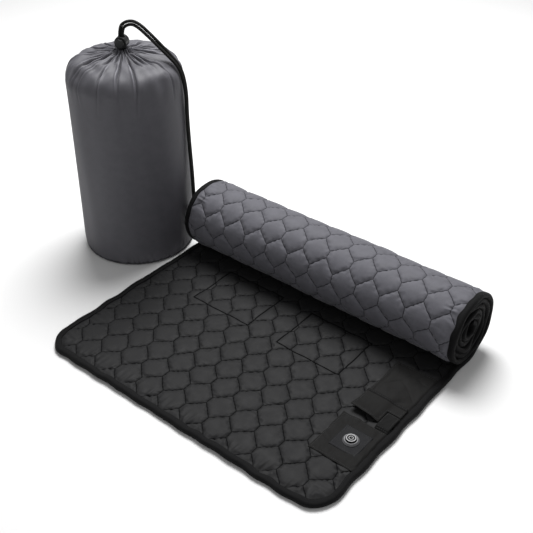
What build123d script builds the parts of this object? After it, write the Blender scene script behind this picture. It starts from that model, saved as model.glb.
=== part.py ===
"""A heated, quilted roll-up blanket, part open and part rolled, with its drawstring carry bag.

Frame: +Z up, +X across the blanket, +Y from its open front edge towards the roll.
The origin is on the floor, under the middle of the open panel.

The blanket is a stack of layers. Each layer is one ribbon that lies flat and then winds
into a roll of half turns. A layer is placed by its distance from the grey outer face,
which is the underside of the open panel and the outside of the roll.
"""

import math
import os

from build123d import *

# ---------------------------------------------------------------- driving dimensions, mm
BLANKET_WIDTH = 600.0
OPEN_LENGTH = 428.0  # front edge to the middle of the roll
CORNER_RADIUS = 48.0
THICKNESS = 9.5
WRAP_GAP = 0.5  # air between one wrap of the roll and the next
ROLL_RADIUS = 68.0
ROLL_SAG = 6.0  # how much wider than tall the roll is
HALF_TURNS = 11
BINDING_WIDTH = 12.0
BINDING_THICKNESS = 8.0

# Layers, as (near, far) distances from the grey outer face.
BOTTOM_COVER = (0.0, 0.8)
LOWER_WADDING = (0.8, 4.6)
HEATER_CARRIER = (4.6, 5.0)
HEATER_ELEMENT = (5.0, 5.4)
UPPER_WADDING = (5.4, 8.7)
TOP_COVER = (8.7, THICKNESS)

PAD_WIDTH = 130.0
PAD_LENGTH = 104.0
PAD_CENTRES_X = (-115.0, 85.0)
PAD_CENTRE_Y = 96.0
CUTOUT_X = (PAD_CENTRES_X[0] + PAD_CENTRES_X[1]) / 2
ROLLED_PAD_TURNS = (0, 2, 4, 6)
LEAD_WIDTH = 3.0
LEAD_GAP = 0.2
BUS_X = 168.0
CUTOUT_SIZE, CUTOUT_CORNER = (12.0, 6.0, 2.4), 1.5

PANEL_LEFT, PANEL_RIGHT = 207.0, 287.5
PANEL_FRONT, PANEL_BACK = -118.0, -23.0
CLOTH = 0.8  # thickness of the sewn-on panels
FIT = 0.1  # air left round a part that sits in another
PATCH_SIZE = (48.0, 50.0)
CLOTH_CORNER = 2.0
BUTTON_X, BUTTON_Y = 252.0, -69.0
BUTTON_RADIUS = 13.5
TUBE_RADIUS = 8.0
BACK_RING_RADIUS = 12.0
CAP_RADIUS = 8.9
LEAD_SPREAD = 3.0
CAP_TRAVEL = 1.2

POCKET_LEFT, POCKET_RIGHT = 210.0, 287.5
POCKET_MOUTH, POCKET_END = -4.0, 132.0
POCKET_HEIGHT = 4.7  # inside height
POCKET_PINNED_X = 258.0  # right of this the closure tab holds the pocket down
SEAM_ALLOWANCE = 5.0
FLAP_HINGE_Y, FLAP_FREE_Y = 34.0, -11.0

TAB_LEFT, TAB_RIGHT = 264.0, 287.0
TAB_HINGE_Y, TAB_FREE_Y = -16.0, 15.5
TAPE = 0.8  # thickness of hook tape and of loop tape

BAG_RADIUS = 110.0
BAG_X = -(BLANKET_WIDTH / 2 + 10.0 + BAG_RADIUS)
BAG_Y = 140.0
BAG_WALL = 1.2
BAG_SHOULDER_Z = 348.0
BAG_SHOULDER_RADIUS = 42.0
BAG_TOP_SLOPE = 11.0  # degrees that the gathered top rises towards its neck
HEM_RING_RADIUS = 11.0
HEM_RADIUS = 4.6  # the cloth tube that the drawcord runs in
CORD_DIAMETER = 5.6
STRAND_OFFSET = 3.1  # from the middle of the pair to the middle of each strand
DRAPE_ANGLE = 27.0  # degrees from +X at which the strands hang down the bag

LOCK_RADIUS = 11.5
LOCK_FRONT, LOCK_BACK = 8.5, 13.5  # from the strands to the ends of the lock's body
LOCK_RIM_ROUND, LOCK_BACK_ROUND = 1.0, 5.0
PLUNGER_RADIUS = 8.6
PLUNGER_ROUND = 1.6
PLUNGER_TRAVEL = 4.0

# Routes of the two strands of the drawcord, from the neck to the knot. Each point is
# (distance from the bag's axis towards the drape, distance to the side, height).
OUTER_STRAND = [
    (-3.1, 0.0, 399.0),
    (-3.1, 0.0, 440.2),
    (11.1, 0.0, 455.0),
    (31.6, 0.6, 455.7),
    (58.9, 2.0, 430.2),
    (86.3, 3.0, 401.0),
    (109.0, 3.2, 375.0),
    (116.4, 3.2, 333.0),
    (115.2, 3.2, 280.0),
    (117.0, 3.2, 212.0),
    (119.5, 3.2, 146.0),
    (119.5, 3.2, 86.0),
]
INNER_STRAND = [
    (3.1, 0.0, 399.0),
    (3.1, 0.0, 437.7),
    (13.9, 0.0, 448.9),
    (29.4, -0.6, 449.5),
    (55.5, -2.0, 426.8),
    (84.7, -3.0, 399.5),
    (108.6, -3.2, 375.0),
    (116.4, -3.2, 333.0),
    (115.2, -3.2, 280.0),
    (117.0, -3.2, 212.0),
    (119.5, -3.2, 146.0),
    (119.5, -3.2, 86.0),
]
KNOT_RADIUS, KNOT_HEIGHT = 7.5, 15.0
KNOT_TOP_ROUND, KNOT_FOOT_ROUND = 1.2, 4.0
TAIL_LENGTH = 14.0

# ------------------------------------------------------------------- derived dimensions
EDGE_X = BLANKET_WIDTH / 2
INNER_X = EDGE_X - BINDING_WIDTH
FRONT_Y = -OPEN_LENGTH / 2
ROLL_Y = OPEN_LENGTH / 2
ARC_START_Y = ROLL_Y + ROLL_SAG / 2
PITCH = THICKNESS + WRAP_GAP
PANEL_X = (PANEL_LEFT + PANEL_RIGHT) / 2
FACE_Z = THICKNESS
PATCH_Z = FACE_Z + CLOTH
BUTTON_Z = PATCH_Z + CLOTH
PINNED_Z = FACE_Z + 0.4  # underside of the pocket where it is held down
TAB_Z = PINNED_Z + CLOTH + 2 * TAPE + 0.1
ROOF_Z = FACE_Z + POCKET_HEIGHT
FLAP_Z = ROOF_Z + CLOTH + 0.4
HEM_Z = 399.0
LOCK_Z = HEM_Z + HEM_RADIUS + 0.4 + LOCK_RADIUS

os.makedirs("parts", exist_ok=True)


def write(part, name):
    """Labels a finished piece and writes its STEP file."""
    part.label = name
    export_step(part, f"parts/{name}.step")


# ---------------------------------------------------------------------- the roll's shape
def turn_radius(turn):
    """Radius of the grey face on half turn number turn, counted from the outside."""
    return ROLL_RADIUS - turn * PITCH / 2


def turn_centre(turn):
    """Centre of a half turn in the Y-Z plane. Even turns are on the far side of the roll."""
    if turn % 2 == 0:
        return ROLL_Y + ROLL_SAG / 2, ROLL_RADIUS
    return ROLL_Y - ROLL_SAG / 2, ROLL_RADIUS + PITCH / 2


def turn_start_angle(turn):
    """Angle at which a half turn begins: the bottom for even turns, the top for odd ones."""
    return -90.0 if turn % 2 == 0 else 90.0


def turn_point(turn, depth, angle):
    """Point on a half turn at a depth under the grey face, as (y, z)."""
    y, z = turn_centre(turn)
    radius = turn_radius(turn) - depth
    return y + radius * math.cos(math.radians(angle)), z + radius * math.sin(math.radians(angle))


def spiral(depth):
    """Draws the roll's path at one depth, in the BuildLine that is open."""
    for turn in range(HALF_TURNS):
        start = turn_start_angle(turn)
        CenterArc(turn_centre(turn), turn_radius(turn) - depth, start, 180)
        if turn + 1 < HALF_TURNS:
            Line(
                turn_point(turn, depth, start + 180),
                turn_point(turn + 1, depth, start + 180),
            )


def rolled_ribbon(layer, low_x, high_x):
    """One layer of the roll between two places across the blanket."""
    near, far = layer
    last = HALF_TURNS - 1
    end = turn_start_angle(last) + 180
    with BuildPart() as ribbon:
        with BuildSketch(Plane.YZ.offset(low_x)):
            with BuildLine():
                spiral(near)
                spiral(far)
                Line(turn_point(0, near, -90), turn_point(0, far, -90))
                Line(turn_point(last, near, end), turn_point(last, far, end))
            make_face()
        extrude(amount=high_x - low_x)
    return ribbon.part


def open_outline(inset):
    """Sketch of the open panel's outline, a distance in from its edge."""
    half = EDGE_X - inset
    front = FRONT_Y + inset
    radius = CORNER_RADIUS - inset
    with BuildSketch() as outline:
        with BuildLine():
            Polyline((-half, ARC_START_Y), (half, ARC_START_Y), (half, front + radius))
            RadiusArc((half, front + radius), (half - radius, front), radius)
            Line((half - radius, front), (-half + radius, front))
            RadiusArc((-half + radius, front), (-half, front + radius), radius)
            Line((-half, front + radius), (-half, ARC_START_Y))
        make_face()
    return outline.sketch


def open_layer(layer, hole_radius):
    """One layer of the open panel, with the hole, if any, that the button needs."""
    near, far = layer
    with BuildPart() as sheet:
        with BuildSketch(Plane.XY.offset(near)):
            add(open_outline(BINDING_WIDTH))
        extrude(amount=far - near)
        if hole_radius:
            with Locations((BUTTON_X, BUTTON_Y, far)):
                Hole(radius=hole_radius)
    return sheet.part


def write_layer(name, layer, hole_radius=0.0, cutout=False):
    """A layer's open panel and its rolled length, as two solids of one piece."""
    with BuildPart() as panel:
        add(open_layer(layer, hole_radius))
        if cutout:
            with Locations((CUTOUT_X, PAD_CENTRE_Y, layer[0])):
                Box(*[size + 4 * FIT for size in CUTOUT_SIZE[:2]], OPENING_DEPTH, mode=Mode.SUBTRACT)
    pieces = [panel.part, rolled_ribbon(layer, -INNER_X, INNER_X)]
    write(Compound(children=pieces), name)


BUTTON_HOLE = TUBE_RADIUS + 0.2
BACK_RING_HOLE = BACK_RING_RADIUS + 0.4
OPENING_DEPTH = 6.0
write_layer("bottom_cover", BOTTOM_COVER)
write_layer("lower_wadding", LOWER_WADDING)
write_layer("heater_carrier", HEATER_CARRIER)
write_layer("upper_wadding", UPPER_WADDING, hole_radius=BACK_RING_HOLE, cutout=True)
write_layer("top_cover", TOP_COVER, hole_radius=BUTTON_HOLE)


# ----------------------------------------------------------------------- edge binding
with BuildPart() as front_binding:
    with BuildSketch():
        add(open_outline(0))
    extrude(amount=BINDING_THICKNESS)
    with BuildSketch():
        add(open_outline(BINDING_WIDTH))
    extrude(amount=BINDING_THICKNESS, mode=Mode.SUBTRACT)

binding_layer = (0.0, BINDING_THICKNESS)
binding = [
    front_binding.part,
    rolled_ribbon(binding_layer, -EDGE_X, -INNER_X),
    rolled_ribbon(binding_layer, INNER_X, EDGE_X),
]
write(Compound(children=binding), "edge_binding")


# ------------------------------------------------------------------- heating elements
def rolled_strip(layer, turn, centre_x, width, length):
    """A thin strip of a given length, centred on one half turn of the roll."""
    near, far = layer
    middle = turn_start_angle(turn) + 90
    sweep = math.degrees(length / (turn_radius(turn) - far))
    start, end = middle - sweep / 2, middle + sweep / 2
    with BuildPart() as strip:
        with BuildSketch(Plane.YZ.offset(centre_x - width / 2)):
            with BuildLine():
                CenterArc(turn_centre(turn), turn_radius(turn) - near, start, sweep)
                CenterArc(turn_centre(turn), turn_radius(turn) - far, start, sweep)
                Line(turn_point(turn, near, start), turn_point(turn, far, start))
                Line(turn_point(turn, near, end), turn_point(turn, far, end))
            make_face()
        extrude(amount=width)
    return strip.part


with BuildPart() as open_pads:
    with BuildSketch(Plane.XY.offset(HEATER_ELEMENT[0])):
        with Locations(*[(x, PAD_CENTRE_Y) for x in PAD_CENTRES_X]):
            Rectangle(PAD_WIDTH, PAD_LENGTH)
    extrude(amount=HEATER_ELEMENT[1] - HEATER_ELEMENT[0])

pads = list(open_pads.part.solids())
for turn in ROLLED_PAD_TURNS:
    for x in PAD_CENTRES_X:
        pads.append(rolled_strip(HEATER_ELEMENT, turn, x, PAD_WIDTH, 0.8 * PAD_LENGTH))
write(Compound(children=pads), "heating_pads")

# Flat conductors: from the button to the pads, and a bus that runs on into the roll.
gap_left = PAD_CENTRES_X[0] + PAD_WIDTH / 2
gap_right = PAD_CENTRES_X[1] - PAD_WIDTH / 2
pads_right = PAD_CENTRES_X[1] + PAD_WIDTH / 2
lead_end_x = BUTTON_X + LEAD_SPREAD + LEAD_WIDTH / 2
with BuildPart() as open_leads:
    with BuildSketch(Plane.XY.offset(HEATER_ELEMENT[0])):
        with Locations((BUS_X, (BUTTON_Y + ARC_START_Y) / 2)):
            Rectangle(LEAD_WIDTH, ARC_START_Y - BUTTON_Y)
        with Locations(((BUS_X + lead_end_x) / 2, BUTTON_Y)):
            Rectangle(lead_end_x - BUS_X, LEAD_WIDTH)
        with Locations(((BUS_X + pads_right + LEAD_GAP) / 2, PAD_CENTRE_Y)):
            Rectangle(BUS_X - pads_right - LEAD_GAP, LEAD_WIDTH)
    extrude(amount=HEATER_ELEMENT[1] - HEATER_ELEMENT[0])

with BuildPart() as pad_link:
    with Locations(((gap_left + gap_right) / 2, PAD_CENTRE_Y, sum(HEATER_ELEMENT) / 2)):
        Box(gap_right - gap_left - LEAD_GAP, LEAD_WIDTH, HEATER_ELEMENT[1] - HEATER_ELEMENT[0])

bus = rolled_ribbon(HEATER_ELEMENT, BUS_X - LEAD_WIDTH / 2, BUS_X + LEAD_WIDTH / 2)
leads = Compound(children=[*open_leads.part.solids(), pad_link.part, bus])
write(leads, "heater_leads")

# A bimetal cut-out, pressed into the upper wadding between the two open pads.
with BuildPart() as sensor:
    with Locations((CUTOUT_X, PAD_CENTRE_Y, HEATER_ELEMENT[1] + FIT + CUTOUT_SIZE[2] / 2)):
        Box(*CUTOUT_SIZE)
    fillet(sensor.edges().filter_by(Axis.Z), radius=CUTOUT_CORNER)
write(sensor.part, "thermal_cutout")


# -------------------------------------------------------------------- control button
def upright(at):
    """The plane through a point that faces the front, for half sections."""
    return Plane(origin=at, x_dir=(1, 0, 0), z_dir=(0, -1, 0))


def revolved(points, at):
    """A turned piece from its half section, given as (radius, height) points."""
    with BuildPart() as turned:
        with BuildSketch(upright(at)):
            with BuildLine():
                Polyline(*points, close=True)
            make_face()
        revolve(axis=Axis(at, (0, 0, 1)))
    return turned


BUTTON_AT = (BUTTON_X, BUTTON_Y, 0)

with BuildPart() as control_panel:
    with Locations((PANEL_X, (PANEL_FRONT + PANEL_BACK) / 2, FACE_Z + CLOTH / 2)):
        Box(PANEL_RIGHT - PANEL_LEFT, PANEL_BACK - PANEL_FRONT, CLOTH)
    with Locations((BUTTON_X, BUTTON_Y, PATCH_Z)):
        Hole(radius=BUTTON_HOLE)
write(control_panel.part, "control_panel")

with BuildPart() as button_patch:
    with Locations((BUTTON_X, BUTTON_Y, PATCH_Z + CLOTH / 2)):
        Box(*PATCH_SIZE, CLOTH)
        Hole(radius=BUTTON_HOLE)
    fillet(button_patch.edges().filter_by(Axis.Z).group_by(Axis.X)[0], radius=CLOTH_CORNER)
    fillet(button_patch.edges().filter_by(Axis.Z).group_by(Axis.X)[-1], radius=CLOTH_CORNER)
write(button_patch.part, "button_patch")

WELL_RADIUS = CAP_RADIUS + 0.3
WELL_FLOOR = BUTTON_Z + 0.4
RIM_Z = BUTTON_Z + 3.6
TUBE_BORE, TUBE_FOOT = 6.9, 6.2
RIM_STEP, RIM_TAPER = 1.0, 2.4
base_section = [
    (TUBE_BORE, TUBE_FOOT),
    (TUBE_RADIUS, TUBE_FOOT),
    (TUBE_RADIUS, BUTTON_Z),
    (BUTTON_RADIUS, BUTTON_Z),
    (BUTTON_RADIUS, BUTTON_Z + RIM_STEP),
    (BUTTON_RADIUS - RIM_TAPER, RIM_Z),
    (WELL_RADIUS, RIM_Z),
    (WELL_RADIUS, WELL_FLOOR),
    (TUBE_BORE, WELL_FLOOR),
]
button_base = revolved(base_section, BUTTON_AT)
write(button_base.part, "button_base")

BACK_RING_HEIGHT = 1.4
back_ring = revolved(
    [
        (TUBE_RADIUS + FIT, UPPER_WADDING[1] - BACK_RING_HEIGHT),
        (BACK_RING_RADIUS, UPPER_WADDING[1] - BACK_RING_HEIGHT),
        (BACK_RING_RADIUS, UPPER_WADDING[1]),
        (TUBE_RADIUS + FIT, UPPER_WADDING[1]),
    ],
    BUTTON_AT,
)
write(back_ring.part, "button_back_ring")

BOARD_Z, BOARD_THICKNESS = 7.0, 1.2
BOARD_TOP = BOARD_Z + BOARD_THICKNESS
with BuildPart() as circuit_board:
    with Locations((BUTTON_X, BUTTON_Y, BOARD_Z + BOARD_THICKNESS / 2)):
        Cylinder(radius=TUBE_BORE - FIT, height=BOARD_THICKNESS)
write(circuit_board.part, "circuit_board")

PIN_RADIUS = 0.5
with BuildPart() as board_pins:
    for side in (-1, 1):
        with Locations((BUTTON_X + side * LEAD_SPREAD, BUTTON_Y, (HEATER_ELEMENT[1] + BOARD_Z) / 2)):
            Cylinder(radius=PIN_RADIUS, height=BOARD_Z - HEATER_ELEMENT[1])
write(board_pins.part, "board_pins")

LED_SIZE = (1.6, 0.8, 0.6)
LED_COUNT, LED_CIRCLE_RADIUS = 3, 5.0
with BuildPart() as status_leds:
    with Locations((BUTTON_X, BUTTON_Y, BOARD_TOP + LED_SIZE[2] / 2)):
        with PolarLocations(radius=LED_CIRCLE_RADIUS, count=LED_COUNT):
            Box(*LED_SIZE)
write(status_leds.part, "status_leds")

DOME_HEIGHT, DOME_RADIUS, DOME_TOP_RADIUS = 1.4, 3.2, 2.4
CAP_FOOT = WELL_FLOOR + CAP_TRAVEL + 0.2
CAP_TOP = RIM_Z + 2.4
STEM_RADIUS, STEM_FOOT = 2.0, BOARD_TOP + DOME_HEIGHT
dome = revolved(
    [(0, BOARD_TOP), (DOME_RADIUS, BOARD_TOP), (DOME_TOP_RADIUS, STEM_FOOT), (0, STEM_FOOT)],
    BUTTON_AT,
)
write(dome.part, "switch_dome")

RING_OUTER, RING_INNER, RING_DEPTH, RING_RISE = 8.0, 6.3, 0.5, 0.2
CAP_BEVEL = 0.6
button_cap = revolved(
    [
        (0, STEM_FOOT),
        (STEM_RADIUS, STEM_FOOT),
        (STEM_RADIUS, CAP_FOOT),
        (CAP_RADIUS, CAP_FOOT),
        (CAP_RADIUS, CAP_TOP - CAP_BEVEL),
        (CAP_RADIUS - CAP_BEVEL, CAP_TOP),
        (RING_OUTER, CAP_TOP),
        (RING_OUTER, CAP_TOP - RING_DEPTH),
        (RING_INNER, CAP_TOP - RING_DEPTH),
        (RING_INNER, CAP_TOP),
        (0, CAP_TOP),
    ],
    BUTTON_AT,
)
write(button_cap.part, "button_cap")

light_ring = revolved(
    [
        (RING_INNER, CAP_TOP - RING_DEPTH),
        (RING_OUTER, CAP_TOP - RING_DEPTH),
        (RING_OUTER, CAP_TOP + RING_RISE),
        (RING_INNER, CAP_TOP + RING_RISE),
    ],
    BUTTON_AT,
)
write(light_ring.part, "light_ring")

# The usual on-off sign: an open ring with a bar at its top.
SIGN_OUTER, SIGN_INNER, SIGN_HEIGHT = 3.9, 2.9, 0.25
SIGN_GAP, SIGN_BAR, SIGN_BAR_Y = (2.8, 3.4), (0.9, 3.6), 3.0
with BuildPart() as power_sign:
    with BuildSketch(Plane.XY.offset(CAP_TOP)):
        with Locations((BUTTON_X, BUTTON_Y)):
            Circle(SIGN_OUTER)
            Circle(SIGN_INNER, mode=Mode.SUBTRACT)
        with Locations((BUTTON_X, BUTTON_Y + SIGN_BAR_Y)):
            Rectangle(*SIGN_GAP, mode=Mode.SUBTRACT)
            Rectangle(*SIGN_BAR)
    extrude(amount=SIGN_HEIGHT)
write(power_sign.part, "power_sign")


# ------------------------------------------------------------- pocket, flap and tab
PINNED_TOP = PINNED_Z + CLOTH
LEFT_WALL = POCKET_LEFT + SEAM_ALLOWANCE
RIGHT_WALL = POCKET_RIGHT - SEAM_ALLOWANCE
SLOPE = 4.0  # width over which the roof comes down to a seam
pocket_section = [
    (POCKET_LEFT, FACE_Z),
    (LEFT_WALL, FACE_Z),
    (LEFT_WALL + SLOPE, ROOF_Z),
    (POCKET_PINNED_X - SLOPE, ROOF_Z),
    (POCKET_PINNED_X, PINNED_Z),
    (RIGHT_WALL, PINNED_Z),
    (RIGHT_WALL, FACE_Z),
    (POCKET_RIGHT, FACE_Z),
    (POCKET_RIGHT, PINNED_TOP),
    (POCKET_PINNED_X + CLOTH, PINNED_TOP),
    (POCKET_PINNED_X - SLOPE + CLOTH, ROOF_Z + CLOTH),
    (LEFT_WALL + SLOPE - CLOTH, ROOF_Z + CLOTH),
    (LEFT_WALL - CLOTH, FACE_Z + CLOTH),
    (POCKET_LEFT, FACE_Z + CLOTH),
]
end_section = [pocket_section[0], *pocket_section[7:]]
END_WALL = 2.0
with BuildPart() as pocket:
    with BuildSketch(Plane.XZ.offset(-POCKET_END)):
        with BuildLine():
            Polyline(*pocket_section, close=True)
        make_face()
    extrude(amount=POCKET_END - POCKET_MOUTH)
    with BuildSketch(Plane.XZ.offset(-POCKET_END)):
        with BuildLine():
            Polyline(*end_section, close=True)
        make_face()
    extrude(amount=END_WALL)
write(pocket.part, "pocket")

# The flap covers the pocket's mouth and is cut away round the closure tab.
TAB_CLEARANCE = 0.8
flap_right = POCKET_RIGHT - 1.0
notch_left = TAB_LEFT - TAB_CLEARANCE
notch_back = TAB_FREE_Y + TAB_CLEARANCE
with BuildPart() as pocket_flap:
    with BuildSketch(Plane.XY.offset(FLAP_Z)):
        with BuildLine():
            Polyline(
                (POCKET_LEFT + 1.0, FLAP_HINGE_Y),
                (POCKET_LEFT + 1.0, FLAP_FREE_Y),
                (notch_left, FLAP_FREE_Y),
                (notch_left, notch_back),
                (flap_right, notch_back),
                (flap_right, FLAP_HINGE_Y),
                close=True,
            )
        make_face()
    extrude(amount=CLOTH)
write(pocket_flap.part, "pocket_flap")

SEAM_TAPE_WIDTH = 4.0
seam_left = LEFT_WALL + SLOPE
seam_right = POCKET_PINNED_X - SLOPE
with BuildPart() as flap_seam:
    with Locations(
        (
            (seam_left + seam_right) / 2,
            FLAP_HINGE_Y + 0.3 + SEAM_TAPE_WIDTH / 2,
            (ROOF_Z + CLOTH + FLAP_Z + CLOTH) / 2,
        )
    ):
        Box(seam_right - seam_left, SEAM_TAPE_WIDTH, FLAP_Z - ROOF_Z)
write(flap_seam.part, "flap_seam")

TAB_X = (TAB_LEFT + TAB_RIGHT) / 2
TAPE_WIDTH = TAB_RIGHT - TAB_LEFT - 2.0
TAPE_FRONT = POCKET_MOUTH + 0.5
TAPE_LENGTH = TAB_FREE_Y - TAPE_FRONT - 0.5
TAPE_Y = TAPE_FRONT + TAPE_LENGTH / 2
with BuildPart() as loop_tape:
    with Locations((TAB_X, TAPE_Y, PINNED_TOP + TAPE / 2)):
        Box(TAPE_WIDTH, TAPE_LENGTH, TAPE)
write(loop_tape.part, "loop_tape")

with BuildPart() as hook_tape:
    with Locations((TAB_X, TAPE_Y, TAB_Z - TAPE / 2)):
        Box(TAPE_WIDTH, TAPE_LENGTH, TAPE)
write(hook_tape.part, "hook_tape")

with BuildPart() as tab:
    with Locations((TAB_X, (TAB_FREE_Y + TAB_HINGE_Y) / 2, TAB_Z + CLOTH / 2)):
        Box(TAB_RIGHT - TAB_LEFT, TAB_FREE_Y - TAB_HINGE_Y, CLOTH)
    fillet(tab.edges().filter_by(Axis.Z).group_by(Axis.Y)[-1], radius=CLOTH_CORNER)
write(tab.part, "closure_tab")

# The tab is sewn down along a foot, in front of the pocket's mouth.
FOOT_LENGTH, FOOT_ROUND = 6.0, 1.0
foot_height = TAB_Z + CLOTH - FACE_Z
with BuildPart() as tab_foot:
    with Locations((TAB_X, TAB_HINGE_Y - 0.3 - FOOT_LENGTH / 2, FACE_Z + foot_height / 2)):
        Box(TAB_RIGHT - TAB_LEFT, FOOT_LENGTH, foot_height)
    fillet(tab_foot.edges().filter_by(Axis.X).group_by(Axis.Z)[-1], radius=FOOT_ROUND)
write(tab_foot.part, "tab_foot")

# Where the supply lead comes up through the blanket, inside the pocket.
GROMMET_X, GROMMET_Y = 240.0, 110.0
GROMMET_RADIUS, GROMMET_HEIGHT, GROMMET_BORE, GROMMET_ROUND = 6.0, 2.0, 2.6, 0.5
with BuildPart() as grommet:
    with Locations((GROMMET_X, GROMMET_Y, FACE_Z + GROMMET_HEIGHT / 2)):
        Cylinder(radius=GROMMET_RADIUS, height=GROMMET_HEIGHT)
        Cylinder(radius=GROMMET_BORE, height=GROMMET_HEIGHT, mode=Mode.SUBTRACT)
    fillet(grommet.edges().group_by(Axis.Z)[-1], radius=GROMMET_ROUND)
write(grommet.part, "lead_grommet")


# -------------------------------------------------------------------------- carry bag
BAG_AT = (BAG_X, BAG_Y, 0)
BAG_AXIS = Axis(BAG_AT, (0, 0, 1))
NECK_OPENING = HEM_RING_RADIUS + HEM_RADIUS + 0.3
NECK_CUT = 60.0


def bag_half_section(inset, floor):
    """Half section of the bag, an inset in from its outside, from a floor to its apex."""
    side = BAG_RADIUS - inset
    bend = BAG_SHOULDER_RADIUS - inset
    centre_r = BAG_RADIUS - BAG_SHOULDER_RADIUS
    lean = math.radians(BAG_TOP_SLOPE)
    top_r, top_z = bend * math.sin(lean), BAG_SHOULDER_Z + bend * math.cos(lean)
    apex_z = top_z + (centre_r + top_r) * math.tan(lean)
    with BuildSketch() as section:
        with BuildLine():
            Polyline((0, apex_z), (0, floor), (side, floor), (side, BAG_SHOULDER_Z))
            CenterArc((centre_r, BAG_SHOULDER_Z), bend, 0, 90 - BAG_TOP_SLOPE)
            Line((centre_r + top_r, top_z), (0, apex_z))
        make_face()
    return section.sketch


with BuildPart() as bag_side:
    with BuildSketch(upright(BAG_AT)):
        add(bag_half_section(0, BAG_WALL))
        add(bag_half_section(BAG_WALL, BAG_WALL), mode=Mode.SUBTRACT)
    revolve(axis=BAG_AXIS)
    with Locations((BAG_X, BAG_Y, HEM_Z)):
        Cylinder(radius=NECK_OPENING, height=NECK_CUT, mode=Mode.SUBTRACT)
write(bag_side.part, "bag_side")

with BuildPart() as bag_base:
    with Locations((BAG_X, BAG_Y, BAG_WALL / 2)):
        Cylinder(radius=BAG_RADIUS, height=BAG_WALL)
write(bag_base.part, "bag_base")

SEAM_RADIUS = 1.3
with BuildPart() as base_seam:
    with BuildSketch(upright(BAG_AT)):
        with Locations((BAG_RADIUS + SEAM_RADIUS + FIT, SEAM_RADIUS)):
            Circle(SEAM_RADIUS)
    revolve(axis=BAG_AXIS)
write(base_seam.part, "base_seam")

FILLING_INSET = BAG_WALL + 0.3
NECK_HOLLOW_RADIUS, NECK_HOLLOW_DEPTH = 45.0, 24.0
with BuildPart() as packed_roll:
    with BuildSketch(upright(BAG_AT)):
        add(bag_half_section(FILLING_INSET, BAG_WALL))
    revolve(axis=BAG_AXIS)
    with Locations((BAG_X, BAG_Y, HEM_Z + NECK_CUT / 2 - NECK_HOLLOW_DEPTH)):
        Cylinder(radius=NECK_HOLLOW_RADIUS, height=NECK_CUT, mode=Mode.SUBTRACT)
write(packed_roll.part, "packed_roll")

drape_x = math.cos(math.radians(DRAPE_ANGLE))
drape_y = math.sin(math.radians(DRAPE_ANGLE))


def drape(along, side, height):
    """A point given along the drape, to its side and above the floor."""
    return (
        BAG_X + along * drape_x - side * drape_y,
        BAG_Y + along * drape_y + side * drape_x,
        height,
    )


# The hem is a tube of cloth round the neck, and the drawcord runs round inside it.
CORD_RADIUS = CORD_DIAMETER / 2
with BuildPart() as hem:
    with BuildSketch(upright(BAG_AT)):
        with Locations((HEM_RING_RADIUS, HEM_Z)):
            Circle(HEM_RADIUS)
            Circle(CORD_RADIUS + 0.2, mode=Mode.SUBTRACT)
    revolve(axis=BAG_AXIS)
write(hem.part, "drawcord_hem")

with BuildPart() as hem_cord:
    with BuildSketch(upright(BAG_AT)):
        with Locations((HEM_RING_RADIUS, HEM_Z)):
            Circle(CORD_RADIUS)
    revolve(axis=BAG_AXIS)
write(hem_cord.part, "hem_cord")

# Cloth bunched inside the ring of the hem, where both strands come up out of it.
BUNCH_HEIGHT = 7.0
with BuildPart() as neck_bunch:
    with Locations((BAG_X, BAG_Y, HEM_Z - BUNCH_HEIGHT / 2)):
        Cylinder(radius=HEM_RING_RADIUS - HEM_RADIUS - FIT, height=BUNCH_HEIGHT)
write(neck_bunch.part, "neck_bunch")


def strand(route, name):
    """One strand of the drawcord: straight runs joined by tangent arcs."""
    points = [Vector(*drape(*point)) for point in route]
    runs = [b - a for a, b in zip(points, points[1:])]
    radii = []
    for before, after in zip(runs, runs[1:]):
        turn = math.radians(before.get_angle(after))
        radii.append(0.45 * min(before.length, after.length) / math.tan(turn / 2))
    with BuildLine(mode=Mode.PRIVATE) as line:
        FilletPolyline(*points, radius=radii)
    with BuildPart() as tube:
        with BuildSketch(Plane(origin=points[0], z_dir=(0, 0, 1))):
            Circle(CORD_RADIUS)
        sweep(path=line.wire())
    length = line.wire().length
    share = tube.part.volume / (math.pi * CORD_RADIUS**2 * length)
    print(name, "radii", [round(r, 1) for r in radii], "length", round(length, 1), "fill", round(share, 4))
    write(tube.part, name)


strand(OUTER_STRAND, "drawcord_outer")
strand(INNER_STRAND, "drawcord_inner")

knot_along, _, knot_top = OUTER_STRAND[-1]
with BuildPart() as knot:
    with Locations(drape(knot_along, 0, knot_top - KNOT_HEIGHT / 2)):
        Cylinder(radius=KNOT_RADIUS, height=KNOT_HEIGHT)
    fillet(knot.edges().group_by(Axis.Z)[-1], radius=KNOT_TOP_ROUND)
    fillet(knot.edges().group_by(Axis.Z)[0], radius=KNOT_FOOT_ROUND)
    for side in (-STRAND_OFFSET, STRAND_OFFSET):
        with Locations(drape(knot_along, side, knot_top - KNOT_HEIGHT - TAIL_LENGTH / 2 + 1)):
            Cylinder(radius=CORD_RADIUS, height=TAIL_LENGTH + 2)
write(knot.part, "end_knot")


# -------------------------------------------------------------------------- cord lock
SLOT_LENGTH = 2 * STRAND_OFFSET + CORD_DIAMETER + 1.2
SLOT_WIDTH = CORD_DIAMETER + 1.4
BORE_RADIUS = PLUNGER_RADIUS + 0.15
BORE_END = LOCK_BACK - 2.0
PLUNGER_END = SLOT_WIDTH / 2 + 1.5
PLUNGER_FRONT = LOCK_FRONT + PLUNGER_TRAVEL + 2.0
LOCK_FACE = Plane(
    origin=(BAG_X, BAG_Y, LOCK_Z), x_dir=(drape_x, drape_y, 0), z_dir=(drape_y, -drape_x, 0)
)


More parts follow.
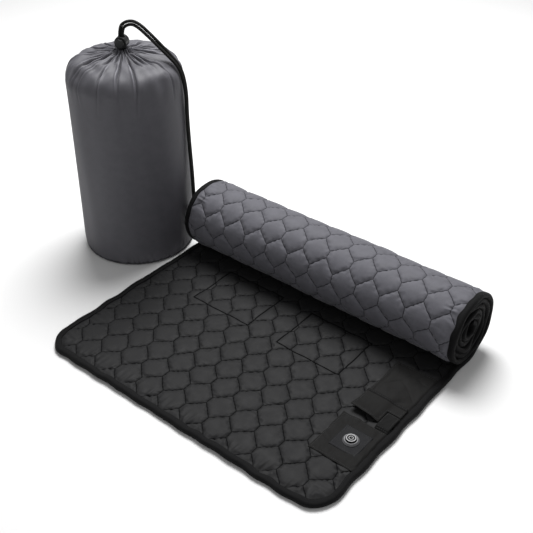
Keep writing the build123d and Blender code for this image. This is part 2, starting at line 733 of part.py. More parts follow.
def lock_slot(centre, width):
    """Cuts the slot that both strands pass through, at a place along the lock's axis."""
    along_x, along_y = drape_y * centre, -drape_x * centre
    turned = Location((BAG_X + along_x, BAG_Y + along_y, LOCK_Z), (0, 0, DRAPE_ANGLE))
    with Locations(turned):
        Box(SLOT_LENGTH, width, 4 * LOCK_RADIUS, mode=Mode.SUBTRACT)


with BuildPart() as lock_body:
    with BuildSketch(LOCK_FACE.offset(-LOCK_BACK)):
        Circle(LOCK_RADIUS)
    extrude(amount=LOCK_BACK + LOCK_FRONT)
    rims = lock_body.edges().filter_by(GeomType.CIRCLE).sort_by(Axis(LOCK_FACE.origin, LOCK_FACE.z_dir))
    fillet(rims[0], radius=LOCK_BACK_ROUND)
    fillet(rims[-1], radius=LOCK_RIM_ROUND)
    with BuildSketch(LOCK_FACE.offset(-BORE_END)):
        Circle(BORE_RADIUS)
    extrude(amount=BORE_END + LOCK_FRONT, mode=Mode.SUBTRACT)
    lock_slot(0, SLOT_WIDTH)
write(lock_body.part, "lock_body")

with BuildPart() as plunger:
    with BuildSketch(LOCK_FACE.offset(-PLUNGER_END)):
        Circle(PLUNGER_RADIUS)
    extrude(amount=PLUNGER_END + PLUNGER_FRONT)
    rims = plunger.edges().filter_by(GeomType.CIRCLE).sort_by(Axis(LOCK_FACE.origin, LOCK_FACE.z_dir))
    fillet(rims[-1], radius=PLUNGER_ROUND)
    lock_slot(PLUNGER_TRAVEL / 2, SLOT_WIDTH + PLUNGER_TRAVEL)
write(plunger.part, "lock_plunger")

SPRING_WIRE = 0.35
SPRING_RADIUS = 5.5
spring_length = BORE_END - PLUNGER_END - 2 * SPRING_WIRE - 0.2
with BuildPart() as spring:
    with BuildLine():
        coil = Helix(
            pitch=spring_length / 3,
            height=spring_length,
            radius=SPRING_RADIUS,
            center=LOCK_FACE.offset(-BORE_END + SPRING_WIRE + 0.1).origin,
            direction=LOCK_FACE.z_dir,
        )
    with BuildSketch(Plane(origin=coil @ 0, z_dir=coil % 0)):
        Circle(SPRING_WIRE)
    sweep()
write(spring.part, "lock_spring")
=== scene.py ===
"""Looks of the heated roll-up blanket and its drawstring carry bag.

Lengths are in millimetres until a mesh is made, but the camera and the lights are in metres.
+X runs across the blanket, +Y from its open front edge towards the roll, +Z up. The blanket
is one quilted strip: s is the distance along its grey outer face from the front edge, and
depth the distance from that face.
"""

import functools
import math

import bpy
import numpy as np
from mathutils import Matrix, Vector


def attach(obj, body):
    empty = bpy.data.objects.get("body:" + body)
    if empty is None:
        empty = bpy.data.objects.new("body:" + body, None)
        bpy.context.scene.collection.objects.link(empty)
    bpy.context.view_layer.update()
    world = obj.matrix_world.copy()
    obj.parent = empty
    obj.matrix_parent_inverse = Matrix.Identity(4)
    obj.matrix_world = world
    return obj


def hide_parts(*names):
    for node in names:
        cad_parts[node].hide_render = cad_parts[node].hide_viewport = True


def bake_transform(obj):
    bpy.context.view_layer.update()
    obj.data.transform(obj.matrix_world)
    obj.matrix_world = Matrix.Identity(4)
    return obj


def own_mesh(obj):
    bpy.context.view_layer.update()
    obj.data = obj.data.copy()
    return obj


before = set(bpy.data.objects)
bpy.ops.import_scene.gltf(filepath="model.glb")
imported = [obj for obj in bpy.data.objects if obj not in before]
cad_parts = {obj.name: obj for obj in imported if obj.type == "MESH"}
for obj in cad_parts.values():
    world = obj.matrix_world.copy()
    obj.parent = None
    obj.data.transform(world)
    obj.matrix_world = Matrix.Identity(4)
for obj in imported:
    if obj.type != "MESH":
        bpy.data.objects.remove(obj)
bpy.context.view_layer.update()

MM = 0.001
TURN = 2 * math.pi
RIPPLE_WAVES = 7

# ---- the blanket's measures
EDGE_X = 300.0
FRONT_Y = -214.0
ROLL_Y = 214.0
CORNER_RADIUS = 48.0
ROLL_RADIUS = 68.0
ROLL_SAG = 6.0
HALF_TURNS = 11
PITCH = 10.0
ARC_START_Y = ROLL_Y + ROLL_SAG / 2

CELL_WIDTH = 49.5
ROW_PITCH = 38.2
CELL_HALF_HEIGHT = 30.5
CELL_HALF_SIDE = ROW_PITCH - CELL_HALF_HEIGHT
FIRST_ROW_S = 76.0
FIRST_CELL_X = -247.5

STITCHED_RECTANGLES = [(-180.0, -50.0, 260.0, 365.0), (20.0, 150.0, 256.0, 358.0)]

FACE_Z = 9.5
CLOTH = 0.8

# How deep each face of the quilt lies at its seams, and how far its cells stand out from there.
OPEN_DEPTH, OPEN_PUFF = 7.0, 3.1
ROLLED_DEPTH, ROLLED_PUFF = 7.3, 1.9
UNDER_POCKET_DEPTH = 8.9
GREY_DEPTH, GREY_PUFF, GREY_OUTER_PUFF = 2.2, 1.9, 1.3
# Cells that show are cut into more rows of triangles. The open face shows up to FINE_END.
FINE_ROWS, COARSE_ROWS = 10, 4
FINE_END = 400

BUTTON_X, BUTTON_Y = 252.0, -69.0
PANEL = (207.0, 287.5, -118.0, -23.0)
PATCH = (228.0, 276.0, -94.0, -44.0)
POCKET = (210.0, 287.5, -4.0, 132.0)
FLAP = (211.0, 286.5, -11.0, 34.0)
TAB = (264.0, 287.0, -16.0, 15.5)
TAB_Z = 13.2
ROOF_Z = 15.0
FLAP_Z = 16.2
FLAP_SEAM = (35.4, 40.6)
TAB_CLEARANCE = 1.5
UNDER_BINDING = 3.5
STITCH_PITCH, STITCH_RADIUS = 3.3, 0.24

BAG_RADIUS = 110.0
BAG_X, BAG_Y = -420.0, 140.0
BAG_SHOULDER_Z = 348.0
BAG_SHOULDER_RADIUS = 42.0
BAG_TOP_SLOPE = 11.0
HEM_Z = 399.0
HEM_RADIUS = 4.6
COLLAR_TOP_Z = 407.3
GATHERS, BASE_PUCKERS = 66, 110
CORD_DIAMETER = 5.6
BRAID_SWELL = 0.1
KNOT_OUT, KNOT_RADIUS, KNOT_TOP_Z = 119.5, 4.7, 83.0
DRAPE_ANGLE = math.radians(27.0)
LOCK_RADIUS = 11.5
SPRING_SEAT = -11.5
SPRING_LENGTH, SPRING_RADIUS, SPRING_WIRE, SPRING_TURNS = 5.6, 5.5, 0.35, 3

# The camera: its place and how far it is moved back in metres, its angles in degrees.
CAMERA_PLACE = (0.70779, -0.83228, 0.96065)
CAMERA_AZIMUTH, CAMERA_ELEVATION = 39.1508, 35.3806
CAMERA_LENS = 59.34
CAMERA_BACK_OFF = 0.07
# The light. The floor's half side and how far it lies under the origin are in millimetres.
WORLD_STRENGTH, KEY_WATTS, FRONT_WATTS = 0.32, 96.0, 6.0
FLOOR_HALF_SIDE, FLOOR_DROP = 6000.0, 0.5


# ---- small tools
def smooth(value, low, high):
    """0 below low, 1 above high, and a smooth step between."""
    t = np.clip((np.asarray(value, float) - low) / (high - low), 0.0, 1.0)
    return t * t * (3.0 - 2.0 * t)


def bump(value, middle, width):
    """1 where a value is at the middle, and next to 0 a few widths away from it."""
    return np.exp(-(((value - middle) / width) ** 2))


def least(*values):
    """The smallest of several values, point by point."""
    return functools.reduce(np.minimum, values)


def run_along(points):
    """Distance along a flat line of points, from its first point to each."""
    return np.concatenate([[0], np.cumsum(np.hypot(*np.diff(points, axis=0).T))])


def pairs(a, b):
    """Every pair of two arrays that are spread over each other, as a list."""
    return np.stack(np.broadcast_arrays(a, b), -1).reshape(-1, 2)


def circle(count):
    """Angles round a circle, without its first one again at the end."""
    return np.linspace(0, TURN, count, endpoint=False)


def ripple(x, y, wavelength, seed):
    """Smooth, seeded unevenness from about -1 to 1 over a plane."""
    rng = np.random.default_rng(seed)
    total = 0.0
    for _ in range(RIPPLE_WAVES):
        angle, phase = rng.uniform(0, TURN, 2)
        k = TURN / (wavelength * rng.uniform(0.7, 1.5))
        total = total + np.sin(k * (x * math.cos(angle) + y * math.sin(angle)) + phase)
    return total / math.sqrt(RIPPLE_WAVES)


def add_object(name, data):
    obj = bpy.data.objects.new(name, data)
    bpy.context.scene.collection.objects.link(obj)
    return obj


def make_object(name, verts, faces, material, body):
    """A mesh object from points in mm and an array of triangles or quads."""
    mesh = bpy.data.meshes.new(name)
    verts = np.asarray(verts, float) * MM
    faces = np.asarray(faces, int)
    mesh.vertices.add(len(verts))
    mesh.vertices.foreach_set("co", verts.ravel())
    mesh.loops.add(faces.size)
    mesh.loops.foreach_set("vertex_index", faces.ravel())
    mesh.polygons.add(len(faces))
    mesh.polygons.foreach_set("loop_start", np.arange(0, faces.size, faces.shape[1]))
    mesh.update(calc_edges=True)
    mesh.polygons.foreach_set("use_smooth", np.full(len(faces), True))
    mesh.materials.append(material)
    obj = add_object(name, mesh)
    if body:
        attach(obj, body)
    return obj


def at_corners(obj, values):
    """One value per face corner, from one per point."""
    corner = np.zeros(len(obj.data.loops), int)
    obj.data.loops.foreach_get("vertex_index", corner)
    return values[corner]


def add_uv(obj, name, values):
    """A UV map from one pair per face corner, or one pair per point."""
    if len(values) == len(obj.data.vertices):
        values = at_corners(obj, values)
    layer = obj.data.uv_layers.new(name=name)
    layer.data.foreach_set("uv", values.ravel().astype(np.float32))


def grid_faces(rows, columns, wrap=False, start=0):
    """Quads of a grid of points stored row by row. wrap joins each row's end to its start."""
    r = np.arange(rows - 1)[:, None]
    c = np.arange(columns if wrap else columns - 1)[None, :]
    nxt = (c + 1) % columns
    quads = np.stack(
        [r * columns + c, r * columns + nxt, (r + 1) * columns + nxt, (r + 1) * columns + c], -1
    )
    return quads.reshape(-1, 4) + start


# ---- materials
class Shader:
    """A Principled material that is built node by node."""

    def __init__(self, name, color, roughness, **inputs):
        self.material = bpy.data.materials.new(name)
        self.material.use_nodes = True
        self.tree = self.material.node_tree
        self.bsdf = self.tree.nodes["Principled BSDF"]
        self.bsdf.inputs["Base Color"].default_value = (*color, 1.0)
        self.bsdf.inputs["Roughness"].default_value = roughness
        for key, value in inputs.items():
            self.bsdf.inputs[key.replace("_", " ")].default_value = value
        self.color = tuple(color)
        self.height = None

    def node(self, kind, **settings):
        made = self.tree.nodes.new(kind)
        for key, value in settings.items():
            setattr(made, key, value)
        return made

    def link(self, source, target):
        self.tree.links.new(source, target)

    def uv(self, name):
        return self.node("ShaderNodeUVMap", uv_map=name).outputs["UV"]

    def place(self):
        """Position in the row frame, the same for every piece."""
        return self.node("ShaderNodeTexCoord").outputs["Object"]

    def split(self, vector):
        return self.feed(self.node("ShaderNodeSeparateXYZ"), {0: vector}).outputs

    def feed(self, node, values):
        for key, value in values.items():
            if isinstance(value, bpy.types.NodeSocket):
                self.link(value, node.inputs[key])
            else:
                node.inputs[key].default_value = value
        return node

    def math(self, operation, *values):
        node = self.node("ShaderNodeMath", operation=operation)
        return self.feed(node, dict(enumerate(values))).outputs[0]

    def ramp(self, value, low, high, to_low=0.0, to_high=1.0):
        node = self.node("ShaderNodeMapRange", interpolation_type="SMOOTHSTEP")
        values = {"From Min": low, "From Max": high, "To Min": to_low, "To Max": to_high}
        return self.feed(node, {"Value": value, **values}).outputs["Result"]

    def noise(self, vector, scale, detail=3.0, rough=0.55):
        node = self.node("ShaderNodeTexNoise")
        values = {"Vector": vector, "Scale": scale, "Detail": detail, "Roughness": rough}
        return self.feed(node, values).outputs["Fac"]

    def mix(self, factor, a, b):
        """A colour mix. a and b are colours or colour sockets."""
        node = self.node("ShaderNodeMix", data_type="RGBA")
        a, b = ((*c, 1.0) if isinstance(c, tuple) else c for c in (a, b))
        self.feed(node, {0: factor, 6: a, 7: b})
        return node.outputs[2]

    def times(self, a, b):
        return self.math("MULTIPLY", a, b)

    def off_by(self, a, b):
        """How far a value is from another, either way."""
        return self.math("ABSOLUTE", self.math("SUBTRACT", a, b))

    def raise_by(self, value, factor=None):
        """Adds to the height that the bump is made of."""
        value = value if factor is None else self.times(value, factor)
        self.height = value if self.height is None else self.math("ADD", self.height, value)

    def dash(self, along, pitch):
        """1 on each stitch of a seam, and 0 in the gaps between stitches."""
        return self.ramp(self.math("FRACT", self.math("DIVIDE", along, pitch)), 0.68, 0.74, 1.0, 0.0)

    def mottled(self, cloth, scale, dark, light):
        """Broad uneven patches, and the base colour varied by them."""
        mottle = self.noise(cloth, scale, 4.0)
        tones = shade(self.color, dark), shade(self.color, light)
        return mottle, self.mix(self.ramp(mottle, 0.3, 0.7), *tones)

    def weave(self, vector, pitch, depth):
        """Threads that cross at right angles, at a pitch in the vector's own unit."""
        x, y, _ = self.split(vector)
        warp, weft = (self.math("SINE", self.times(v, TURN / pitch)) for v in (x, y))
        self.raise_by(self.times(warp, weft), depth)

    def done_cloth(self, tone, mottle=None, less=0.05, more=0.06):
        """A finished cloth. Its gloss varies with the mottle, where it has one."""
        base = self.bsdf.inputs["Roughness"].default_value
        rough = None if mottle is None else self.ramp(mottle, 0.2, 0.8, base - less, base + more)
        return self.done(tone, rough, 0.5, 0.0008)

    def done(self, color, rough, strength, distance):
        """The finished material, with its colour, its bumps, and its roughness if that varies."""
        self.link(color, self.bsdf.inputs["Base Color"])
        if rough is not None:
            self.link(rough, self.bsdf.inputs["Roughness"])
        relief = self.node("ShaderNodeBump")
        self.feed(relief, {"Height": self.height, "Strength": strength, "Distance": distance})
        self.link(relief.outputs["Normal"], self.bsdf.inputs["Normal"])
        return self.material


def grey(level):
    return (level, level, level)


def shade(color, factor):
    return tuple(c * factor for c in color)


def quilted(name, color, sheen, roughness, boxes=()):
    """Quilted cover: fine plain weave, creased and stitched along its seams, with painted shade in the seams
    and along the stitched lines.
    """
    s = Shader(name, color, roughness, Sheen_Weight=sheen, Sheen_Roughness=0.45)
    along, across, _ = s.split(s.uv("seam"))
    cloth = s.uv("cloth")
    clear_of_seam_shade = s.ramp(across, 0.1, 1.3)
    thread = s.times(s.ramp(across, 0.28, 0.42, 1.0, 0.0), s.dash(along, 3.1))
    x, y, _ = s.split(cloth)
    for left, right, near, far in boxes:
        past_side = s.math("SUBTRACT", s.off_by(x, (left + right) / 2), (right - left) / 2)
        past_end = s.math("SUBTRACT", s.off_by(y, (near + far) / 2), (far - near) / 2)
        line = s.math("ABSOLUTE", s.math("MAXIMUM", past_side, past_end))
        # Painted shade along the stitched lines, the same as in the seams.
        clear_of_seam_shade = s.times(clear_of_seam_shade, s.ramp(line, 0.7, 1.7, 0.0, 1.0))
        box_thread = s.times(s.ramp(line, 0.25, 0.45, 1.0, 0.0), s.dash(s.math("ADD", x, y), 3.1))
        thread = s.math("MAXIMUM", thread, box_thread)
    mottle, tone = s.mottled(cloth, 0.06, 0.9, 1.12)
    slub = s.noise(cloth, 1.1, 2.0)
    tone = s.mix(s.ramp(slub, 0.35, 0.75, 0.0, 0.35), tone, shade(color, 1.25))
    # Painted shade: the colour falls to 0.16 of its own down in the seams and along the stitched lines.
    tone = s.mix(clear_of_seam_shade, shade(color, 0.16), tone)
    tone = s.mix(thread, tone, shade(color, 0.5))
    # The specular also goes out in the seams and stitched lines, so that the painted shade stays dark.
    s.link(s.ramp(clear_of_seam_shade, 0.0, 1.0, 0.0, 0.14), s.bsdf.inputs["Specular IOR Level"])
    s.weave(cloth, 0.9, 0.05)
    s.raise_by(clear_of_seam_shade, 0.35)
    s.raise_by(thread, 0.5)
    s.raise_by(s.noise(cloth, 0.35, 3.0), 0.35)
    return s.done_cloth(tone, mottle, 0.06, 0.08)


def plain_cloth(name, color, roughness, sheen, pitch, crinkle):
    """Smooth woven cloth with small creases."""
    s = Shader(name, color, roughness, Sheen_Weight=sheen, Sheen_Roughness=0.4, Specular_IOR_Level=0.12)
    cloth = s.uv("cloth")
    mottle, tone = s.mottled(cloth, 0.05, 0.86, 1.16)
    s.weave(cloth, pitch, 0.06)
    s.raise_by(s.noise(cloth, 0.22, 4.0), crinkle)
    return s.done_cloth(tone, mottle)


def gathered(name, color, roughness, gloss):
    """Smooth bag cloth with painted shade down in its gathers and a painted highlight on their ridges."""
    s = Shader(name, color, roughness, Specular_IOR_Level=gloss)
    cloth = s.uv("cloth")
    fold, ridge_highlight, _ = s.split(s.uv("fold"))
    mottle, tone = s.mottled(cloth, 0.05, 0.93, 1.07)
    # Painted highlight on the ridges beside the gathers, then painted shade down in the gathers and puckers.
    tone = s.mix(s.ramp(ridge_highlight, 0.15, 0.85, 0.0, 0.8), tone, shade(color, 1.9))
    tone = s.mix(s.ramp(fold, 0.12, 0.8, 0.0, 0.95), tone, shade(color, 0.18))
    s.weave(cloth, 0.8, 0.06)
    s.raise_by(s.noise(cloth, 0.22, 4.0), 0.12)
    return s.done_cloth(tone, mottle)


def ribbed(name, color, pitch):
    """Grosgrain tape: ribs across it with painted shade between them and a painted highlight on their crests,
    lighter frayed flecks, and one line of stitches.
    """
    s = Shader(name, color, 0.72, Sheen_Weight=0.03, Sheen_Roughness=0.4, Specular_IOR_Level=0.1)
    along, across, _ = s.split(s.uv("tape"))
    rib = s.math("SINE", s.times(along, TURN / pitch))
    s.raise_by(rib, 0.22)
    fray = s.noise(s.uv("tape"), 0.9, 3.0)
    s.raise_by(fray, 0.3)
    thread = s.times(s.ramp(s.off_by(across, 2.4), 0.3, 0.45, 1.0, 0.0), s.dash(along, 3.4))
    # Painted shade between the ribs and a painted highlight on their crests.
    tone = s.mix(s.ramp(rib, -0.6, 0.9), shade(color, 0.75), shade(color, 1.35))
    tone = s.mix(s.ramp(fray, 0.45, 0.8, 0.0, 0.5), tone, shade(color, 1.9))
    tone = s.mix(thread, tone, shade(color, 2.6))
    s.raise_by(thread, 0.6)
    return s.done_cloth(tone)


def pile(name, color, scale):
    """Hook or loop tape."""
    s = Shader(name, color, 0.9, Sheen_Weight=0.3, Sheen_Roughness=0.5)
    tuft = s.noise(s.place(), scale, 3.0, 0.7)
    s.raise_by(tuft)
    return s.done(s.mix(s.ramp(tuft, 0.35, 0.7), shade(color, 0.5), shade(color, 2.0)), None, 0.8, 0.001)


def moulded(name, color, roughness, grain=2600.0, depth=0.12, wear=0.25, **inputs):
    """Moulded plastic or metal: a fine grain, and uneven gloss from handling."""
    s = Shader(name, color, roughness, **inputs)
    at = s.place()
    fine = s.noise(at, grain, 2.0)
    smudge = s.noise(at, 180.0, 4.0)
    s.raise_by(fine, depth)
    tone = s.mix(s.ramp(smudge, 0.35, 0.75, 0.0, wear), color, shade(color, 1.6))
    return s.done(tone, s.ramp(smudge, 0.25, 0.75, roughness - 0.07, roughness + 0.1), 0.35, 0.0002)


BLACK = (0.0125, 0.0125, 0.0131)
GREY = (0.1, 0.099, 0.113)

black_cover = quilted("quilt_black", BLACK, 0.02, 0.62, STITCHED_RECTANGLES)
grey_cover = quilted("quilt_grey", GREY, 0.08, 0.62)
binding_tape = ribbed("binding_tape", (0.0042, 0.0042, 0.0045), 1.15)
panel_cloth = plain_cloth("panel_cloth", (0.0062, 0.006, 0.0058), 0.7, 0.05, 0.7, 0.8)
patch_cloth = plain_cloth("patch_cloth", (0.0058, 0.006, 0.0074), 0.6, 0.05, 0.5, 0.15)
tab_cloth = plain_cloth("tab_cloth", (0.0034, 0.0034, 0.0034), 0.72, 0.04, 0.9, 0.2)
sewing_thread = moulded("sewing_thread", (0.011, 0.011, 0.0115), 0.6, 9000.0, 0.4)
bag_cloth = gathered("bag_cloth", (0.08, 0.0785, 0.09), 0.6, 0.42)
piping_cloth = plain_cloth("piping_cloth", (0.045, 0.044, 0.05), 0.65, 0.02, 0.8, 0.1)
steel = moulded("spring_steel", (0.55, 0.55, 0.56), 0.28, 4000.0, 0.08, 0.3, Metallic=1.0)


# ---- the blanket's long path
def turn_radius(turn):
    return ROLL_RADIUS - turn * PITCH / 2


def turn_centre(turn):
    if turn % 2 == 0:
        return ROLL_Y + ROLL_SAG / 2, ROLL_RADIUS
    return ROLL_Y - ROLL_SAG / 2, ROLL_RADIUS + PITCH / 2


def turn_start(turn):
    """Distance along the grey face at which a half turn begins."""
    return ARC_START_Y - FRONT_Y + sum(math.pi * turn_radius(k) + ROLL_SAG for k in range(turn))


PATH_END = turn_start(HALF_TURNS) - ROLL_SAG
OUTER_END = turn_start(2)


def wind(s, depth):
    """(y, z) of points at distances s along the strip and at depths under its grey face."""
    s, depth = np.broadcast_arrays(np.asarray(s, float), np.asarray(depth, float))
    y, z = FRONT_Y + s, depth.copy()
    for turn in range(HALF_TURNS):
        first = turn_start(turn)
        centre_y, centre_z = turn_centre(turn)
        radius = turn_radius(turn)
        sign = 1.0 if turn % 2 == 0 else -1.0
        angle = np.clip((s - first) / radius, 0.0, math.pi) - sign * math.pi / 2
        on = s >= first
        straight = np.clip(s - first - math.pi * radius, 0.0, ROLL_SAG + 1.0)
        arc_y = centre_y + (radius - depth) * np.cos(angle) - sign * straight
        arc_z = centre_z + (radius - depth) * np.sin(angle)
        y, z = np.where(on, arc_y, y), np.where(on, arc_z, z)
    return y, z


def place(x, s, depth):
    """Points of the strip in the row frame, with the unevenness that soft goods have."""
    x, s, depth = np.broadcast_arrays(*(np.asarray(v, float) for v in (x, s, depth)))
    y, z = wind(s, depth)
    rolled = smooth(s, turn_start(0) - 70, turn_start(0) + 30)
    # The quilting draws the edges in between the seams that reach them.
    near_edge = smooth(np.abs(x), 235, 298)
    scallop = 0.9 + 0.9 * np.sin(TURN * s / (2 * ROW_PITCH) + np.sign(x)) + 0.5 * ripple(s, x, 42, 3)
    sunk = smooth(s, turn_start(1), turn_start(5)) * (4.5 + 2.2 * ripple(s, 0 * x + 40 * np.sign(x), 75, 6))
    new_x = x - np.sign(x) * near_edge * (scallop * (1 - 0.5 * rolled) + sunk)
    near_front = smooth(-s, -70, -2)
    y = y + near_front * (1.0 + 0.8 * np.sin(TURN * x / CELL_WIDTH + 0.6) + 0.6 * ripple(x, s, 60, 5))
    # The open panel lifts a little off the floor, less where the pocket and button are.
    lift = 0.8 + 0.8 * ripple(x, y, 170, 11)
    calm = 1 - smooth(x, 150, 200)
    z = z + (1 - rolled) * np.clip(lift, 0, 2.2) * calm
    # The roll isn't quite round, nor quite straight.
    angle = np.arctan2(z - ROLL_RADIUS, y - ROLL_Y)
    out = 0.9 * np.sin(2 * angle + x / 95) * np.sin(x / 120 + 0.7) + 0.5 * ripple(x, 60 * angle, 110, 17)
    reach = np.hypot(z - ROLL_RADIUS, y - ROLL_Y) / ROLL_RADIUS
    above = smooth(z, 8, 45)
    y = y + rolled * out * np.cos(angle) * reach * above
    z = z + rolled * out * np.sin(angle) * reach * above
    return np.stack([new_x, y, z], -1)


# ---- quilted cells
HALF_WIDTH = CELL_WIDTH / 2
CORNERS = np.array([
    (0.0, CELL_HALF_HEIGHT), (-HALF_WIDTH, CELL_HALF_SIDE), (-HALF_WIDTH, -CELL_HALF_SIDE),
    (0.0, -CELL_HALF_HEIGHT), (HALF_WIDTH, -CELL_HALF_SIDE), (HALF_WIDTH, CELL_HALF_SIDE),
])


class Cell:
    """A hexagon cut into six fans of triangles, with finer rows towards its seam."""

    def __init__(self, rows):
        points, reach = [(0.0, 0.0)], [0.0]
        for j in range(1, rows + 1):
            t = 1 - (1 - j / rows) ** 1.35
            for q in range(6):
                a, b = CORNERS[q], CORNERS[(q + 1) % 6]
                for i in range(j):
                    points.append(tuple(t * (a + (b - a) * i / j)))
                    reach.append(t)
        self.points, self.reach = np.array(points), np.array(reach)

        def index(j, q, i):
            if j == 0:
                return 0
            return 1 + 3 * j * (j - 1) + (q * j + i) % (6 * j)

        triangles, seam = [], []
        for q in range(6):
            a, b = CORNERS[q], CORNERS[(q + 1) % 6]
            run = float(np.hypot(*(b - a)))
            fan = []
            for j in range(rows):
                for i in range(j + 1):
                    fan.append((index(j, q, i), index(j + 1, q, i), index(j + 1, q, i + 1)))
                    if i < j:
                        fan.append((index(j, q, i), index(j + 1, q, i + 1), index(j, q, i + 1)))
            reached = self.reach[np.ravel(fan)][:, None]
            along = (self.points[np.ravel(fan)] - a * reached) @ ((b - a) / run)[:, None]
            from_seam = (1 - reached) * abs(a[0] * b[1] - a[1] * b[0]) / run
            triangles += fan
            seam.append(np.hstack([along + (1 - reached) * run / 2, from_seam]))
        self.triangles, self.seam = np.array(triangles), np.concatenate(seam)
        self.rim = self.reach > 0.9999


TEMPLATES = 12
SIMULATED_FRAMES = 40
PUFF_CLOTH = dict(
    quality=6, mass=0.4, vertex_group_mass="seam", tension_stiffness=25.0, compression_stiffness=25.0,
    shear_stiffness=12.0, bending_stiffness=0.6, tension_damping=12.0, compression_damping=12.0,
    bending_damping=3.0, air_damping=4.0, shrink_min=-0.07, use_pressure=True, uniform_pressure_force=3.0,
)


def pinches(cell, seed):
    """Small wrinkles that the stitching pulls into a cell, strongest just inside its seam."""
    t, p = cell.reach, cell.points
    return 0.16 * ripple(p[:, 0], p[:, 1], 7.0, seed) * t**3 * (1 - t**6)


def plain_puffs(cell):
    """Crown heights of the cells as a formula, with pinched wrinkles beside the seams."""
    rng = np.random.default_rng(4)
    t, p = cell.reach, cell.points
    puffs = []
    for _ in range(TEMPLATES):
        crown = (1 - t**3.4) * (1 + 0.12 * ripple(p[:, 0], p[:, 1], 30, int(rng.integers(1e6))))
        puffs.append(np.stack([0 * t, 0 * t, crown + pinches(cell, int(rng.integers(1e6)))], -1))
    return np.array(puffs)


def simulated_puffs(cell):
    """The cells as cloth: held along their seams, a little oversize, and filled from below."""
    rng = np.random.default_rng(9)
    scale, spacing = 20.0, 60.0
    per_row = 4
    verts, faces = [], []
    for k in range(TEMPLATES):
        base = np.array([(k % per_row) * spacing, (k // per_row) * spacing])
        crown = 3.0 * (1 - cell.reach**3) + 0.5 * (1 - cell.reach**4) * ripple(
            cell.points[:, 0], cell.points[:, 1], 9, int(rng.integers(1e6))
        )
        verts.append(np.column_stack([cell.points + base, crown]))
        faces.append(cell.triangles + k * len(cell.points))
    start = np.concatenate(verts)
    obj = make_object("puff_pattern", start * scale, np.concatenate(faces), black_cover, None)
    rim = np.flatnonzero(np.tile(cell.rim, TEMPLATES))
    obj.vertex_groups.new(name="seam").add(rim.tolist(), 1.0, "REPLACE")
    cloth = obj.modifiers.new("cloth", "CLOTH")
    for key, value in PUFF_CLOTH.items():
        setattr(cloth.settings, key, value)
    cloth.settings.effector_weights.gravity = 0.0
    cloth.collision_settings.use_collision = False
    scene = bpy.context.scene
    for run in (scene, cloth.point_cache):
        run.frame_start, run.frame_end = 1, SIMULATED_FRAMES
    for number in range(1, SIMULATED_FRAMES + 1):
        scene.frame_set(number)
    graph = bpy.context.evaluated_depsgraph_get()
    settled = bpy.data.meshes.new_from_object(obj.evaluated_get(graph))
    co = np.zeros(len(start) * 3)
    settled.vertices.foreach_get("co", co)
    scene.frame_set(1)
    bpy.data.objects.remove(obj)
    moved = co.reshape(-1, 3) / (scale * MM)
    flat = start.copy()
    flat[:, 2] = 0
    shift = (moved - flat).reshape(TEMPLATES, -1, 3)
    shift[:, cell.rim] = 0
    # Nothing rises far above the rest, and nothing folds over its own seam.
    rise = np.clip(shift[:, :, 2] / np.percentile(shift[:, :, 2], 96), 0, None)
    shift[:, :, 2] = np.tanh(2.1 * rise) * 0.85 + 0.15 * np.clip(rise, 0, 1.1)
    shift[:, :, :2] = np.clip(shift[:, :, :2], -0.6, 0.6)
    for puff in shift:
        puff[:, 2] += pinches(cell, int(rng.integers(1e6)))
    return shift


cells = {rows: Cell(rows) for rows in (FINE_ROWS, COARSE_ROWS)}
fine_puffs = simulated_puffs
puffs = {FINE_ROWS: fine_puffs(cells[FINE_ROWS]), COARSE_ROWS: plain_puffs(cells[COARSE_ROWS])}


def edge_distance(x, s):
    """How far in from the blanket's edge a place is, round its front corners too."""
    corner_x, corner_s = np.abs(x) - (EDGE_X - CORNER_RADIUS), CORNER_RADIUS - s
    in_corner = (corner_x > 0) & (corner_s > 0)
    straight = np.minimum(EDGE_X - np.abs(x), s)
    return np.where(in_corner, CORNER_RADIUS - np.hypot(corner_x, corner_s), straight)


def crown_scale(x, s):
    """How much a cell is held down by the lines stitched across it and by its surroundings."""
    held = np.ones_like(x)
    for left, right, near, far in STITCHED_RECTANGLES:
        side = np.abs(x - (left + right) / 2) - (right - left) / 2
        end = np.abs(s - (near + far) / 2) - (far - near) / 2
        held = held * (1 - 0.6 * bump(np.abs(np.maximum(side, end)), 0.0, 3.0))
    return held * smooth(edge_distance(x, s), 9, 20)


def edge_puckers(x, s):
    """Ridges square to the binding, where it is sewn a little tight."""
    along = np.where(EDGE_X - np.abs(x) < s, s, x)
    inward = edge_distance(x, s)
    reach = smooth(inward, 13, 18) * (1 - smooth(inward, 22, 48))
    return 0.75 * reach * ripple(along, 0.12 * inward, 8.5, 35)


